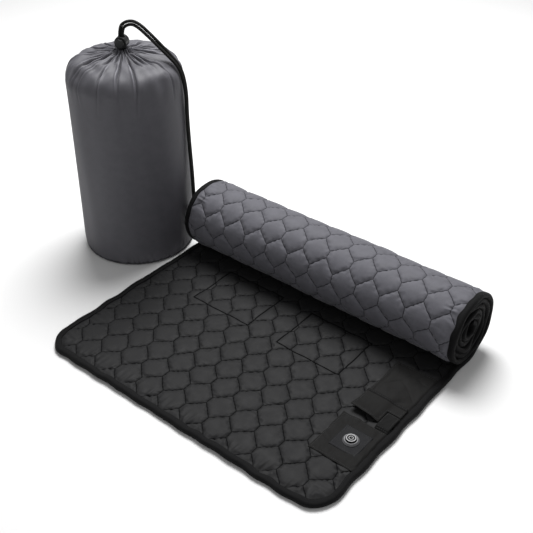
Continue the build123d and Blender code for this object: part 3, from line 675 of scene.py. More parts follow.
def quilt_side(zones, black):
    """One face of the quilt, as points, triangles and UV pairs for each corner."""
    verts, tris, seams, offset = [], [], [], 0
    rng = np.random.default_rng(21 if black else 22)
    for low, high, rows in zones:
        cell = cells[rows]
        first = math.floor((low - FIRST_ROW_S) / ROW_PITCH) - 1
        last = math.ceil((high - FIRST_ROW_S) / ROW_PITCH) + 1
        for k in range(first, last + 1):
            centre_s = FIRST_ROW_S + ROW_PITCH * k
            for i in range(-2, 14):
                centre_x = FIRST_CELL_X + CELL_WIDTH * (i + (0.5 if k % 2 else 0.0))
                pick, mirror = rng.integers(TEMPLATES), rng.random() < 0.5
                size = rng.uniform(0.88, 1.08)
                if not low <= centre_s < high or abs(centre_x) > EDGE_X + 30:
                    continue
                puff = puffs[rows][pick]
                if mirror:
                    puff = puff[cell_mirror[rows]] * np.array([-1, 1, 1])
                x, s = centre_x + cell.points[:, 0], centre_s + cell.points[:, 1]
                verts.append(np.column_stack([x, s, puff * np.array([1, 1, size])]))
                tris.append(cell.triangles + offset)
                seams.append(cell.seam)
                offset += len(cell.points)
    points, tris, seams = np.concatenate(verts), np.concatenate(tris), np.concatenate(seams)
    # Cells share the points of their seams.
    key = np.round(points[:, :2] * 50).astype(np.int64)
    _, first_of, same = np.unique(key, axis=0, return_index=True, return_inverse=True)
    points, tris = points[first_of], same.reshape(-1)[tris]
    x, s = points[:, 0], points[:, 1]
    # The part of the strip inside the binding.
    middle = points[tris][:, :, :2].mean(1)
    from_edge = edge_distance(middle[:, 0], middle[:, 1])
    keep = (from_edge > 5) & (middle[:, 1] < PATH_END - 5)
    used, tris = np.unique(tris[keep], return_inverse=True)
    tris, seams = tris.reshape(-1, 3), seams.reshape(-1, 3, 2)[keep].reshape(-1, 2)
    x, s, puff = x[used], s[used], points[used, 2:]
    cloth = np.column_stack([x, s])[tris.ravel()]
    # Seams aren't sewn quite straight.
    wobble_x, wobble_s = 0.7 * ripple(x, s, 46, 31), 0.7 * ripple(x, s, 46, 32)
    height = puff[:, 2] * crown_scale(x, s) + 0.45 * edge_puckers(x, s)
    x, s = x + puff[:, 0] + wobble_x, s + puff[:, 1] + wobble_s
    return x, s, height, tris, seams, cloth


def mirror_order(cell):
    """For each point of a cell, its mirror image across the cell's middle."""
    order = {tuple(np.round(p, 3)): n for n, p in enumerate(cell.points)}
    return np.array([order[tuple(np.round((-p[0] + 0.0, p[1]), 3) + 0.0)] for p in cell.points])


cell_mirror = {rows: mirror_order(cell) for rows, cell in cells.items()}


def tucked(x):
    """How far cloth drops where it runs in under the binding."""
    return 3.2 * smooth(x, 284.5, 290.5)


def inside(x, y, box, past_right=0.0):
    """How far inside a box (left, right, near, far) a place is."""
    left, right, near, far = box
    return least(x - left, right - x + past_right, y - near, far - y)


def sewn_on(x, y, margin):
    """1 under the panel and the pocket, 0 elsewhere."""
    return np.maximum(*(smooth(inside(x, y, box, 20), -margin, 1.0) for box in (PANEL, POCKET)))


def by_triangle(values, pick=slice(None), order=1):
    """The corner pairs of some triangles, with each triangle's corners in order or reversed."""
    return values.reshape(-1, 3, 2)[pick, ::order].reshape(-1, 2)


def make_quilt():
    roll_start = turn_start(0)
    zones = [(-20, FINE_END, FINE_ROWS), (FINE_END, PATH_END + 30, COARSE_ROWS)]
    x, s, height, tris, *maps = quilt_side(zones, black=True)
    rolled = smooth(s, roll_start - 60, roll_start)
    y = FRONT_Y + s
    flat = OPEN_DEPTH + OPEN_PUFF * height * (1 - 0.35 * smooth(s, 330, FINE_END))
    flat = flat + (UNDER_POCKET_DEPTH - tucked(x) - flat) * sewn_on(x, y, 5.0) * (s < FINE_END)
    top = place(x, s, flat * (1 - rolled) + (ROLLED_DEPTH + ROLLED_PUFF * height) * rolled)
    # The cover is open under the button, whose base goes down through it.
    clear = np.hypot(x[tris].mean(1) - BUTTON_X, y[tris].mean(1) - BUTTON_Y) > 7.0
    top_tris, top_maps = tris[clear], [by_triangle(pair, clear) for pair in maps]
    fine_end = OUTER_END + 40
    zones = [(-20, FINE_END, COARSE_ROWS), (FINE_END, fine_end, FINE_ROWS)]
    zones.append((fine_end, PATH_END + 30, COARSE_ROWS))
    x, s, height, tris, *maps = quilt_side(zones, black=False)
    outside = smooth(s, roll_start + 20, roll_start + 50) * (1 - smooth(s, OUTER_END - 55, OUTER_END - 15))
    bottom = place(x, s, GREY_DEPTH - height * (GREY_PUFF + GREY_OUTER_PUFF * outside))
    faces = np.concatenate([top_tris, tris[:, ::-1] + len(top)])
    verts = np.concatenate([top, bottom])
    quilt = make_object("quilted_blanket", verts, faces, black_cover, "blanket")
    quilt.data.materials.append(grey_cover)
    side = np.repeat([0, 1], [len(top_tris), len(tris)])
    quilt.data.polygons.foreach_set("material_index", side)
    seams, cloth = (np.concatenate([a, by_triangle(b, order=-1)]) for a, b in zip(top_maps, maps))
    add_uv(quilt, "cloth", cloth)
    add_uv(quilt, "seam", seams)
    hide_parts("bottom_cover", "lower_wadding", "heater_carrier", "upper_wadding", "top_cover")


make_quilt()


# ---- edge binding
def binding_section():
    """The folded tape round the edge, as (distance in from the edge, depth), and its width."""
    outer = [
        (12.2, 7.5), (11.0, 8.2), (9.6, 7.75), (8.0, 8.5), (5.2, 8.95), (2.6, 8.5), (0.9, 7.0), (0.0, 4.6),
        (0.7, 2.1), (2.6, 0.6), (5.2, 0.1), (8.0, 0.4), (9.6, 0.9), (11.0, 0.45), (12.2, 1.1),
    ]
    inner = [
        (11.6, 1.9), (8.0, 1.3), (4.0, 1.3), (1.7, 2.8), (1.0, 4.6), (1.8, 6.4), (4.0, 7.7), (8.0, 7.5),
        (11.6, 6.7),
    ]
    across = [0.0]
    for a, b in zip(outer, outer[1:]):
        across.append(across[-1] + math.dist(a, b))
    return np.array(outer + inner), np.array(across + [across[-1]] * len(inner))


def make_binding():
    step = 3.0
    # (x, s, inward x, inward s) along the whole edge of the strip, one way round.
    stations, radius = [], CORNER_RADIUS
    quarter = np.linspace(0, math.pi / 2, 26)

    def go_round(side, angles):
        for a in angles:
            c, n = math.cos(a), math.sin(a)
            stations.append((side * (EDGE_X - radius + radius * c), radius - radius * n, -side * c, n))

    stations += [(-EDGE_X, s, 1, 0) for s in np.arange(PATH_END - 4, radius, -step)]
    go_round(-1, quarter)
    stations += [(x, 0.0, 0, 1) for x in np.arange(-EDGE_X + radius + step, EDGE_X - radius, step)]
    go_round(1, np.linspace(math.pi / 2, 0, 26))
    stations += [(EDGE_X, s, -1, 0) for s in np.arange(radius + step, PATH_END - 4, step)]
    stations = np.array(stations)
    section, across = binding_section()
    along = run_along(stations[:, :2])
    at = along[:, None]
    inward, depth = section.T[:, None, :]
    # The tape puckers where it is stitched, and gathers round the corners.
    pucker = 0.55 * ripple(at, inward * 2, 9, 41) + 0.5 * ripple(at, 0 * inward, 24, 42)
    in_corner = (stations[:, 1] < radius) & (stations[:, 1] > 0.5)
    gather = np.where(in_corner, 0.45, 0.0)[:, None] * np.sin(at * TURN / 5.3)
    on_face = np.clip((depth - 4.5) / 4.5, -0.4, 1)
    swell = (pucker * 0.5 + gather) * on_face * (inward > 1.5) * (inward < 11.5)
    depth = 4.5 + (depth - 4.5) * (1 + 0.03 * pucker) + swell
    open_part = 1 - smooth(stations[:, 1], turn_start(0) - 40, turn_start(0) + 20)[:, None]
    depth = np.clip(depth, 0.05, None) * (1 + 0.15 * open_part)
    width = inward * (1 + 0.07 * ripple(along, 0 * along, 23, 43)[:, None])
    x = stations[:, 0:1] + stations[:, 2:3] * width
    s = stations[:, 1:2] + stations[:, 3:4] * width
    verts = place(x, s, depth).reshape(-1, 3)
    faces = grid_faces(len(stations), len(section), wrap=True)[:, ::-1]
    binding = make_object("edge_binding_tape", verts, faces, binding_tape, "blanket")
    add_uv(binding, "tape", pairs(at, across[None, :]))
    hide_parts("edge_binding")


make_binding()


# ---- sewn-on pieces
def creases(x, y, wavelength, seed):
    """1 along winding lines of creased cloth, and 0 away from them."""
    return bump(ripple(x, y, wavelength, seed), 0.0, 0.11)


def slab(name, x_lines, y_lines, top, thickness, material, body, slot, keep=None, wander=0.0):
    """Cloth with a thickness over a grid of lines. top gives its height at (x, y).

    wander bows the edges, which sewing never leaves quite straight.
    """
    x, y = np.meshgrid(x_lines, y_lines)
    z = top(x, y)
    x, y = x + wander * ripple(x, y, 52, 91), y + wander * ripple(x, y, 52, 92)
    low = z - thickness
    upper = np.stack([x, y, z], -1).reshape(-1, 3)
    lower = np.stack([x, y, low], -1).reshape(-1, 3)
    rows, columns = x.shape
    quads = grid_faces(rows, columns)
    if keep is not None:
        centre = upper[quads].mean(1)
        quads = quads[keep(centre[:, 0], centre[:, 1])]
    edges = np.concatenate([quads[:, [0, 1]], quads[:, [1, 2]], quads[:, [2, 3]], quads[:, [3, 0]]])
    ordered = np.sort(edges, 1)
    _, first_of, count = np.unique(ordered, axis=0, return_index=True, return_counts=True)
    rim = edges[first_of[count == 1]]
    size = len(upper)
    walls = np.column_stack([rim[:, 1], rim[:, 0], rim[:, 0] + size, rim[:, 1] + size])
    faces = np.concatenate([quads, quads[:, ::-1] + size, walls])
    used, faces = np.unique(faces, return_inverse=True)
    verts = np.concatenate([upper, lower])[used]
    obj = make_object(name, verts, faces.reshape(-1, 4), material, body)
    add_uv(obj, "cloth", verts[:, :2])
    return obj


def lines(low, high, step, *extra):
    """Grid lines between two places, closer together at both ends, and through extra ones."""
    count = max(3, int(round((high - low) / step)))
    even = np.linspace(low, high, count + 1)
    near = [low + 0.25, low + 0.8, high - 0.8, high - 0.25]
    return np.unique(np.round(np.concatenate([even, near, extra]), 4))


def turned_edge(x, y, box, drop=0.5):
    """How far a turned edge rolls down near the border of a box."""
    from_edge = inside(x, y, box)
    return drop * (1 - smooth(from_edge, 0, 1.2)) + 0.22 * bump(from_edge, 3.0, 0.8)


def clear_of_button(x, y):
    return np.hypot(x - BUTTON_X, y - BUTTON_Y) > 8.5


def panel_top(x, y):
    wave = 0.42 * ripple(x, y, 32, 51) + 0.2 * ripple(x + 0.6 * y, 0.6 * (y - x), 14, 52)
    calm = 1 - 0.8 * smooth(-np.hypot(x - BUTTON_X, y - BUTTON_Y), -34, -18)
    wave = wave * 1.5 - 0.5 * creases(x, y, 60, 93)
    edge = turned_edge(x, y, (PANEL[0], EDGE_X, *PANEL[2:]))
    return FACE_Z + CLOTH + 0.35 + wave * calm - edge - tucked(x)


def patch_top(x, y):
    wave = 0.12 * ripple(x, y, 16, 53)
    near_button = smooth(-np.hypot(x - BUTTON_X, y - BUTTON_Y), -19, -14)
    edge = turned_edge(x, y, PATCH, 0.4)
    return FACE_Z + 2 * CLOTH + 0.25 * (1 - near_button) + wave * (1 - near_button) - edge


def pocket_top(x, y):
    # Beside the tab the roof comes down steeply. Further back it slopes off to the binding.
    spread = smooth(y, 38, 62)
    across = smooth(x, 211, 221) * (1 - smooth((x - 251) / (10 + 26 * spread), 0, 1))
    back = 1 - smooth(y, 96, 129)
    rise = (ROOF_Z - FACE_Z - CLOTH - 0.5) * across * back
    wave = 0.8 * ripple(x, y, 48, 54) + 0.2 * ripple(x + 0.6 * y, 0.6 * (y - x), 19, 55)
    wave = wave + 0.25 * ripple(x, y, 22, 94) - 0.6 * creases(x, y, 70, 95)
    wave = wave * (1 - smooth(-y, -46, -30)) * smooth(np.minimum(x - 210, 287.5 - x), 0, 9)
    edge = turned_edge(x, y, (POCKET[0], EDGE_X, -50.0, POCKET[3]))
    return FACE_Z + CLOTH + 0.4 + rise + wave - edge - tucked(x)


def flap_top(x, y):
    from_hinge = smooth(-y, -34, 11)
    slope = 3.3 * smooth(x, 251, 266)
    lifted = 5.2 * from_hinge**2 * (1 - smooth(x, 214, 262))
    droop = 0.8 * from_hinge * smooth(x, 228, 262)
    wave = (0.45 * ripple(x, y, 26, 56) + 0.22 * ripple(x, y, 9, 57)) * from_hinge
    edge = least(x - FLAP[0], FLAP[1] - x, y - FLAP[2])
    return FLAP_Z + 0.1 - slope + lifted - droop + wave - 0.3 * (1 - smooth(edge, 0, 1.2))


def tab_top(x, y):
    arch = 0.5 * smooth(y, -16, -6) * (1 - smooth(y, 6, 15.5))
    wave = 0.16 * ripple(x, y, 9, 58)
    edge = least(x - TAB[0], TAB[1] - x, TAB[3] - y)
    return TAB_Z + arch + wave - 0.35 * (1 - smooth(edge, 0, 1.1))


def foot_top(x, y):
    climb = smooth(y, -22.3, -16.6)
    side = np.minimum(x - TAB[0], TAB[1] - x)
    return FACE_Z + CLOTH + 0.2 + (TAB_Z - FACE_Z - CLOTH - 0.2) * climb - 0.3 * (1 - smooth(side, 0, 1.1))


def stitched(name, body, runs):
    """Stitches along runs of points on a surface, one short sunk thread for each."""
    rings = [(-0.5, 0.45, -0.16), (-0.3, 1.0, 0.1), (0.0, 1.1, 0.2), (0.3, 1.0, 0.1), (0.5, 0.45, -0.16)]
    verts, faces = [], []
    for points, top in runs:
        points = np.asarray(points, float)
        at = run_along(points)
        count = max(1, int(at[-1] // STITCH_PITCH))
        for k in range(count):
            middle = (k + 0.5) * at[-1] / count
            ends = [np.array([np.interp(middle + d, at, points[:, n]) for n in (0, 1)]) for d in (-1.2, 1.2)]
            direction = (ends[1] - ends[0]) / max(1e-6, np.hypot(*(ends[1] - ends[0])))
            side = np.array([-direction[1], direction[0]])
            base = len(verts)
            for along, wide, up in rings:
                spot = (ends[0] + ends[1]) / 2 + direction * along * 2.5
                height = float(top(*spot)) + up
                for q in range(5):
                    a = TURN * q / 5
                    x, y = spot + side * math.cos(a) * STITCH_RADIUS * wide * 1.25
                    verts.append((x, y, height + math.sin(a) * STITCH_RADIUS * wide))
            faces.extend(grid_faces(len(rings), 5, wrap=True, start=base).tolist())
    return make_object(name, verts, faces, sewing_thread, body)


def outline(box, inset, sides="lbrt"):
    """A run of points inside a box's left, bottom, right and top edges, as asked."""
    left, right, near, far = box[0] + inset, box[1] - inset, box[2] + inset, box[3] - inset
    runs = {
        "l": [(left, far), (left, near)],
        "b": [(left, near), (right, near)],
        "r": [(right, near), (right, far)],
        "t": [(right, far), (left, far)],
    }
    return [runs[side] for side in sides]


def sewn(name, node, x_lines, y_lines, top, material, slot, body="blanket", thickness=CLOTH, **more):
    """A slab of cloth that stands for a node of the CAD."""
    obj = slab(name, x_lines, y_lines, top, thickness, material, body, slot, **more)
    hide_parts(node)
    return obj


def seam_top(x, y):
    seam_box = (*FLAP[:2], *FLAP_SEAM)
    return flap_top(x, 0 * y + FLAP[3]) + 0.75 - turned_edge(x, y, seam_box, 0.4)


def make_sewn_pieces():
    panel = sewn(
        "control_panel_cloth", "control_panel", lines(PANEL[0], PANEL[1] + UNDER_BINDING, 1.3),
        lines(*PANEL[2:], 1.3), panel_top, panel_cloth, "panel_cloth", keep=clear_of_button, wander=0.8,
    )
    patch = sewn(
        "button_patch_cloth", "button_patch", lines(*PATCH[:2], 2.0), lines(*PATCH[2:], 2.0),
        patch_top, patch_cloth, "patch_cloth", keep=clear_of_button,
    )
    pocket = sewn(
        "pocket_cloth", "pocket", lines(POCKET[0], POCKET[1] + UNDER_BINDING, 1.4),
        lines(*POCKET[2:], 1.4), pocket_top, panel_cloth, "panel_cloth", wander=0.7,
    )
    notch_left, notch_back = TAB[0] - TAB_CLEARANCE, TAB[3] + TAB_CLEARANCE
    flap = sewn(
        "pocket_flap_cloth", "pocket_flap",
        lines(*FLAP[:2], 2.2, notch_left, notch_left - 0.8, notch_left - 0.25),
        lines(FLAP[2], FLAP[3] + 5.5, 2.2, notch_back, notch_back + 0.3, notch_back + 0.9),
        flap_top, panel_cloth, "panel_cloth", None, keep=lambda x, y: (x < notch_left) | (y > notch_back),
    )
    seam = sewn(
        "flap_seam_tape", "flap_seam", lines(*FLAP[:2], 2.2), lines(*FLAP_SEAM, 1.2),
        seam_top, tab_cloth, "panel_cloth", thickness=1.6,
    )
    across_tab = lines(*TAB[:2], 1.6)
    tab = sewn(
        "closure_tab_cloth", "closure_tab", across_tab, lines(*TAB[2:], 1.6),
        tab_top, tab_cloth, "tab_cloth", None,
    )
    foot = sewn(
        "closure_tab_foot", "tab_foot", across_tab, lines(-22.3, -15.6, 1.0), foot_top, tab_cloth, "tab_cloth"
    )
    tape_x, tape_y = lines(TAB[0] + 1, TAB[1] - 1, 1.0), lines(-3.3, 14.8, 1.0)
    loop = sewn(
        "loop_tape_pile", "loop_tape", tape_x, tape_y, lambda x, y: 11.35 + 0.2 * ripple(x, y, 2.4, 61),
        pile("loop_pile", grey(0.012), 900.0), "hook_and_loop", thickness=0.9,
    )
    hook = sewn(
        "hook_tape_pile", "hook_tape", tape_x, tape_y, lambda x, y: tab_top(x, y) - CLOTH + 0.02,
        pile("hook_pile", grey(0.009), 1500.0), "hook_and_loop", "tab", 0.75,
    )
    runs = [(run, panel_top) for run in outline(PANEL, 3.0, "lbt")]
    runs += [(run, patch_top) for run in outline(PATCH, 2.4)]
    runs += [(run, pocket_top) for run in outline(POCKET, 3.0, "lt")]
    runs += [([(213, -1.4), (261, -1.4)], pocket_top)]
    stitched("panel_stitching", "blanket", runs)
    round_notch = [(214.0, 31.0), (214.0, -8.2), (260.4, -8.2), (260.4, 19.1), (283.5, 19.1), (283.5, 31.0)]
    stitched("flap_stitching", "flap", [(round_notch, flap_top)])
    round_tab = [(266.2, -11.0), (266.2, 13.2), (284.8, 13.2), (284.8, -11.0)]
    stitched("tab_stitching", "tab", [(round_tab, tab_top)])
    stitched("seam_stitching", "blanket", [
        ([(213.0, 38.0), (285.0, 38.0)], lambda x, y: flap_top(x, FLAP[3]) + 0.75),
        ([(266.0, -20.6), (285.0, -20.6)], foot_top),
        ([(266.0, -18.4), (285.0, -18.4)], foot_top),
    ])
    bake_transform(flap)
    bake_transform(tab)


make_sewn_pieces()


# ---- carry bag
def bag_profile():
    """(radius, height) down the bag from inside its neck to the middle of its base."""
    lean = math.radians(BAG_TOP_SLOPE)
    centre_r = BAG_RADIUS - BAG_SHOULDER_RADIUS
    points = [
        (0.02, 395.4), (3.6, 395.5), (6.2, 396.0), (6.6, 399.5), (8.0, 402.4), (10.4, 403.7), (12.8, 403.3),
        (14.8, 401.9), (16.4, 400.2),
    ]
    end_r = centre_r + BAG_SHOULDER_RADIUS * math.sin(lean)
    end_z = BAG_SHOULDER_Z + BAG_SHOULDER_RADIUS * math.cos(lean)
    for r in np.arange(18.0, end_r, 1.5):
        points.append((r, end_z + (end_r - r) * math.tan(lean) - 0.6 * smooth(end_r - r, 0, 40)))
    for angle in np.linspace(90 - BAG_TOP_SLOPE, 0, 26):
        c, n = math.cos(math.radians(angle)), math.sin(math.radians(angle))
        points.append((centre_r + BAG_SHOULDER_RADIUS * c, BAG_SHOULDER_Z + BAG_SHOULDER_RADIUS * n))
    points += [(BAG_RADIUS, z) for z in np.arange(BAG_SHOULDER_Z - 5, 46, -6.0)]
    points += [(BAG_RADIUS, z) for z in np.arange(45, 9, -1.8)]
    for a in np.linspace(0, math.pi / 2, 9):
        points.append((BAG_RADIUS - 8.5 * (1 - math.cos(a)), 9.0 - 8.0 * math.sin(a)))
    points += [(r, 0.9) for r in np.linspace(BAG_RADIUS - 14, 0.02, 12)]
    return np.array(points)


def wrap(angle):
    return (angle + math.pi) % (TURN) - math.pi


def make_bag():
    profile = bag_profile()
    columns = 640
    r, z = profile[:, 0][:, None], profile[:, 1][:, None]
    run = run_along(profile)[:, None]
    tangent = np.gradient(profile, axis=0)
    normal = np.column_stack([-tangent[:, 1], tangent[:, 0]])
    normal /= np.hypot(normal[:, 0], normal[:, 1])[:, None]
    theta = circle(columns)[None, :]
    rng = np.random.default_rng(77)
    out, fold, ridge_highlight = np.zeros((3, len(profile), columns))
    from_neck, from_base = run - run[8, 0], np.clip(z - 1.0, 0, None)
    # Gathers that run out from the neck. Few are long enough to go over the shoulder.
    spots = (np.arange(GATHERS) + rng.uniform(-0.38, 0.38, GATHERS)) * TURN / GATHERS
    for spot in spots:
        kind = rng.random()
        length = rng.uniform(*((16, 32) if kind < 0.3 else (36, 76) if kind < 0.72 else (85, 165)))
        depth = rng.uniform(*((2.2, 3.8) if kind < 0.3 else (3.4, 6.4)))
        bend, swing = rng.normal(0, 0.05), rng.uniform(0.008, 0.03)
        lean, side = rng.uniform(0.6, 1.6), rng.choice([-1.0, 1.0])
        winding = swing * np.sin(from_neck / rng.uniform(13, 26) + rng.uniform(0, 6))
        gap = wrap(theta - (spot + bend * smooth(from_neck, 0, 90) + winding)) * r
        fade = (1 - smooth(from_neck, 0.35 * length, length)) * smooth(from_neck, -14, 1)
        width = 0.7 + 0.016 * np.clip(from_neck, 0, 60)
        steep = np.where(gap > 0, lean, 1.0 / lean)
        valley = -depth * np.exp(-np.abs(gap / (width * steep)) ** 1.15)
        beside = 2.6 * width * side
        lip = 0.36 * depth * bump(gap, beside, 1.5 * width)
        out += fade * (valley * np.clip(r / 34, 0.12, 1) + lip * np.clip(r / 30, 0.2, 1))
        # Painted shade down the middle of each gather, and a painted highlight along its lip.
        fold = np.maximum(fold, fade * depth / 6.4 * bump(gap, 0.0, 0.6 * width))
        ridge_highlight = np.maximum(ridge_highlight, fade * depth / 6.4 * bump(gap, beside, 1.1 * width))
    # Near the neck the cloth is too crowded to fold deeply.
    out = np.maximum(out, -(0.7 + 0.13 * np.clip(from_neck, 0, 45)))
    # Short puckers above the base seam.
    for _ in range(BASE_PUCKERS):
        spot, length = rng.uniform(0, TURN), rng.uniform(8, 34)
        depth, width = rng.uniform(0.4, 1.3), rng.uniform(1.3, 2.6)
        line = spot + rng.normal(0, 0.02) * smooth(from_base, 0, length)
        gap = wrap(theta - line) * r
        rise = (1 - smooth(from_base, 0.2 * length, length)) * (r > 90)
        out -= depth * bump(gap, 0.0, width) * rise
        # Painted shade down each pucker as well.
        fold = np.maximum(fold, 0.3 * rise * bump(gap, 0.0, width))
    # Slack in the cloth of the side, over the roll inside.
    below = smooth(from_neck, 50, 120) * smooth(from_base, 0, 30)
    east, north = np.cos(theta), np.sin(theta)
    slack = 1.1 * ripple(east * BAG_RADIUS, north * BAG_RADIUS + z * 0.5, 150, 71)
    slack = slack + 0.7 * ripple(east * BAG_RADIUS, north * BAG_RADIUS + z * 0.12, 46, 72)
    out += below * slack - 0.6 * below
    top_slack = smooth(from_neck, 6, 34) * (1 - smooth(from_neck, 95, 150))
    out += top_slack * 1.6 * ripple(east * r, north * r, 34, 73)
    frill = smooth(run, 5, 11) * (1 - smooth(from_neck, 3, 11))
    out += frill * (1.3 * np.sin(21 * theta + 1.5 * np.sin(3 * theta)) + 0.5 * np.sin(47 * theta))
    out = np.minimum(out, 2.4)
    new_r = np.clip(r + out * normal[:, 0:1], np.minimum(r, 3.0), None)
    new_z = np.clip(z + out * normal[:, 1:], 0.5, None)
    new_z = np.where(new_r < 14.5, np.minimum(new_z, HEM_Z + HEM_RADIUS), new_z)
    # A frilled collar stands round the lock, and stays clear of it.
    frilled = 0.7 + 0.3 * np.sin(19 * theta + 2 * np.sin(2 * theta))
    collar = 4.8 * bump(new_r, 15.4, 1.5) * frilled
    new_z = np.where(new_z > BAG_SHOULDER_Z, np.minimum(new_z + collar, COLLAR_TOP_Z), new_z)
    verts = np.stack([BAG_X + new_r * east, BAG_Y + new_r * north, new_z], -1).reshape(-1, 3)
    faces = grid_faces(len(profile), columns, wrap=True)[:, ::-1]
    bag = make_object("carry_bag", verts, faces, bag_cloth, "bag")
    # The faces that cross the start of the circle go on past its end on the flat cloth.
    flat = at_corners(bag, pairs(theta * BAG_RADIUS, run)).reshape(-1, 4, 2)
    around = flat[:, :, 0]
    crossing = (np.ptp(around, axis=1) > 300)[:, None] & (around < 300)
    around[crossing] += TURN * BAG_RADIUS
    add_uv(bag, "cloth", flat.reshape(-1, 2))
    # The painted shade and the painted highlight go to the bag cloth as a UV map.
    add_uv(bag, "fold", pairs(fold, ridge_highlight))
    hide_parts("bag_side", "bag_base", "packed_roll", "drawcord_hem", "neck_bunch", "hem_cord")


def make_piping():
    """Covered cord in the rounded corner where the bag's side meets its base."""
    radius, height, tube = BAG_RADIUS - 2.6, 3.2, 1.9
    columns, sides = 360, 10
    a, b = circle(columns)[:, None], circle(sides)[None, :]
    size = tube * (1 + 0.08 * np.sin(a * 97) + 0.08 * ripple(a * radius, 0 * a, 13, 81))
    big = radius + size * np.cos(b)
    up = np.broadcast_to(height + size * np.sin(b), big.shape)
    verts = np.stack([BAG_X + big * np.cos(a), BAG_Y + big * np.sin(a), up], -1).reshape(-1, 3)
    near, far = np.arange(sides), np.arange(sides) + (columns - 1) * sides
    close = np.stack([far, np.roll(far, -1), np.roll(near, -1), near], -1)
    faces = np.concatenate([grid_faces(columns, sides, wrap=True), close])[:, ::-1]
    piping = make_object("bag_base_piping", verts, faces, piping_cloth, "bag")
    add_uv(piping, "cloth", pairs(a * radius, b * tube))
    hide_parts("base_seam")


make_bag()
make_piping()


# ---- drawcord
def drape(along, side, height):
    c, d = math.cos(DRAPE_ANGLE), math.sin(DRAPE_ANGLE)
    return (BAG_X + along * c - side * d, BAG_Y + along * d + side * c, height)


# The second point of each strand leans back, so that the smooth line stays upright in the lock.
OUTER_STRAND = [
    (-3.1, 0.0, 399.0), (-4.2, 0.0, 440.2), (11.1, 0.0, 455.0), (31.6, 0.6, 455.7), (58.9, 2.0, 430.2),
    (86.3, 3.0, 401.0), (109.0, 3.2, 375.0), (116.4, 3.2, 333.0), (115.2, 3.2, 280.0),
    (117.0, 3.2, 212.0), (119.5, 3.2, 146.0), (119.5, 3.2, 86.0),
]
INNER_STRAND = [
    (3.1, 0.0, 399.0), (1.3, 0.0, 437.7), (13.9, 0.0, 448.9), (29.4, -0.6, 449.5), (55.5, -2.0, 426.8),
    (84.7, -3.0, 399.5), (108.6, -3.2, 375.0), (116.4, -3.2, 333.0), (115.2, -3.2, 280.0),
    (117.0, -3.2, 212.0), (119.5, -3.2, 146.0), (119.5, -3.2, 86.0),
]


def spline(name, route):
    """Points along the smooth line that a route's control points make, in mm."""
    curve = bpy.data.curves.new(name, "CURVE")
    curve.dimensions = "3D"
    line = curve.splines.new("NURBS")
    line.points.add(len(route) - 1)
    for point, at in zip(line.points, route):
        point.co = (*(c * MM for c in at), 1.0)
    line.order_u, line.resolution_u, line.use_endpoint_u = 3, 24, True
    obj = add_object(name, curve)
    mesh = bpy.data.meshes.new_from_object(obj)
    points = np.array([v.co for v in mesh.vertices]) / MM
    bpy.data.objects.remove(obj)
    bpy.data.meshes.remove(mesh)
    return points


def even(points, step):
    """The same line with points a step apart."""
    seg = np.linalg.norm(np.diff(points, axis=0), axis=1)
    at = np.concatenate([[0], np.cumsum(seg)])
    marks = np.linspace(0, at[-1], max(3, int(at[-1] / step)))
    return np.column_stack([np.interp(marks, at, points[:, n]) for n in range(3)]), marks


def braided_tube(points, radius, step=1.0, sides=24, relief=0.2):
    """Points, faces and UV pairs of a braided cord along a line, closed at its ends."""
    line, marks = even(points, step)
    tangent = np.gradient(line, axis=0)
    tangent /= np.linalg.norm(tangent, axis=1)[:, None]
    normal = np.cross(tangent[0], (0.3, 0.2, 1.0) if abs(tangent[0][2]) < 0.9 else (1.0, 0.2, 0.0))
    frames = []
    for t in tangent:
        normal = normal - t * np.dot(normal, t)
        normal = normal / np.linalg.norm(normal)
        frames.append((normal, np.cross(t, normal)))
    n, b = np.array(frames).transpose(1, 0, 2)[:, :, None, :]
    phi = circle(sides)[None, :]
    turn = TURN * marks[:, None] / 9.0
    braid = np.maximum(np.cos(6 * phi + 3 * turn), np.cos(6 * phi - 3 * turn))
    size = radius - relief + relief * braid
    ends = np.minimum(marks, marks[-1] - marks)[:, None]
    size = size * (0.55 + 0.45 * smooth(ends, -0.6, 1.6))
    outward = n * np.cos(phi)[:, :, None] + b * np.sin(phi)[:, :, None]
    verts = line[:, None, :] + outward * size[:, :, None]
    faces = grid_faces(len(line), sides, wrap=True)
    total = len(line) * sides
    caps = []
    for first, flip in ((0, True), (total - sides, False)):
        for q in range(0, sides - 2, 2):
            quad = [first, first + q + 1, first + q + 2, first + q + 3]
            caps.append(quad[::-1] if flip else quad)
    uv = pairs(marks[:, None], phi * radius)
    return verts.reshape(-1, 3), np.concatenate([faces, np.array(caps)]), uv, line


def braided(name, color):
    """Two sets of strands that cross over each other, frayed here and there, with a painted highlight on the
    strands and painted shade between them.
    """
    s = Shader(name, color, 0.65, Specular_IOR_Level=0.16)
    along, around, _ = s.split(s.uv("cloth"))
    one, two = (s.math("SINE", s.times(s.math(sign, along, around), 3.6)) for sign in ("ADD", "SUBTRACT"))
    plait = s.math("MAXIMUM", one, two)
    s.raise_by(plait, 0.4)
    fray = s.noise(s.uv("cloth"), 2.4, 3.0)
    s.raise_by(fray, 0.3)
    # Painted highlight on the crossing strands and painted shade between them.
    tone = s.mix(s.ramp(plait, 0.1, 1.0), shade(color, 0.45), shade(color, 2.4))
    tone = s.mix(s.ramp(fray, 0.55, 0.75), tone, shade(color, 5.0))
    return s.done(tone, None, 0.6, 0.0006)


braid = braided("drawcord_braid", (0.0065, 0.0065, 0.006))


def cord_piece(name, points, **tube):
    verts, faces, uv, line = braided_tube(points, CORD_DIAMETER / 2 + BRAID_SWELL, **tube)
    obj = make_object(name, verts, faces, braid, "bag")
    add_uv(obj, "cloth", uv)
    return obj, line


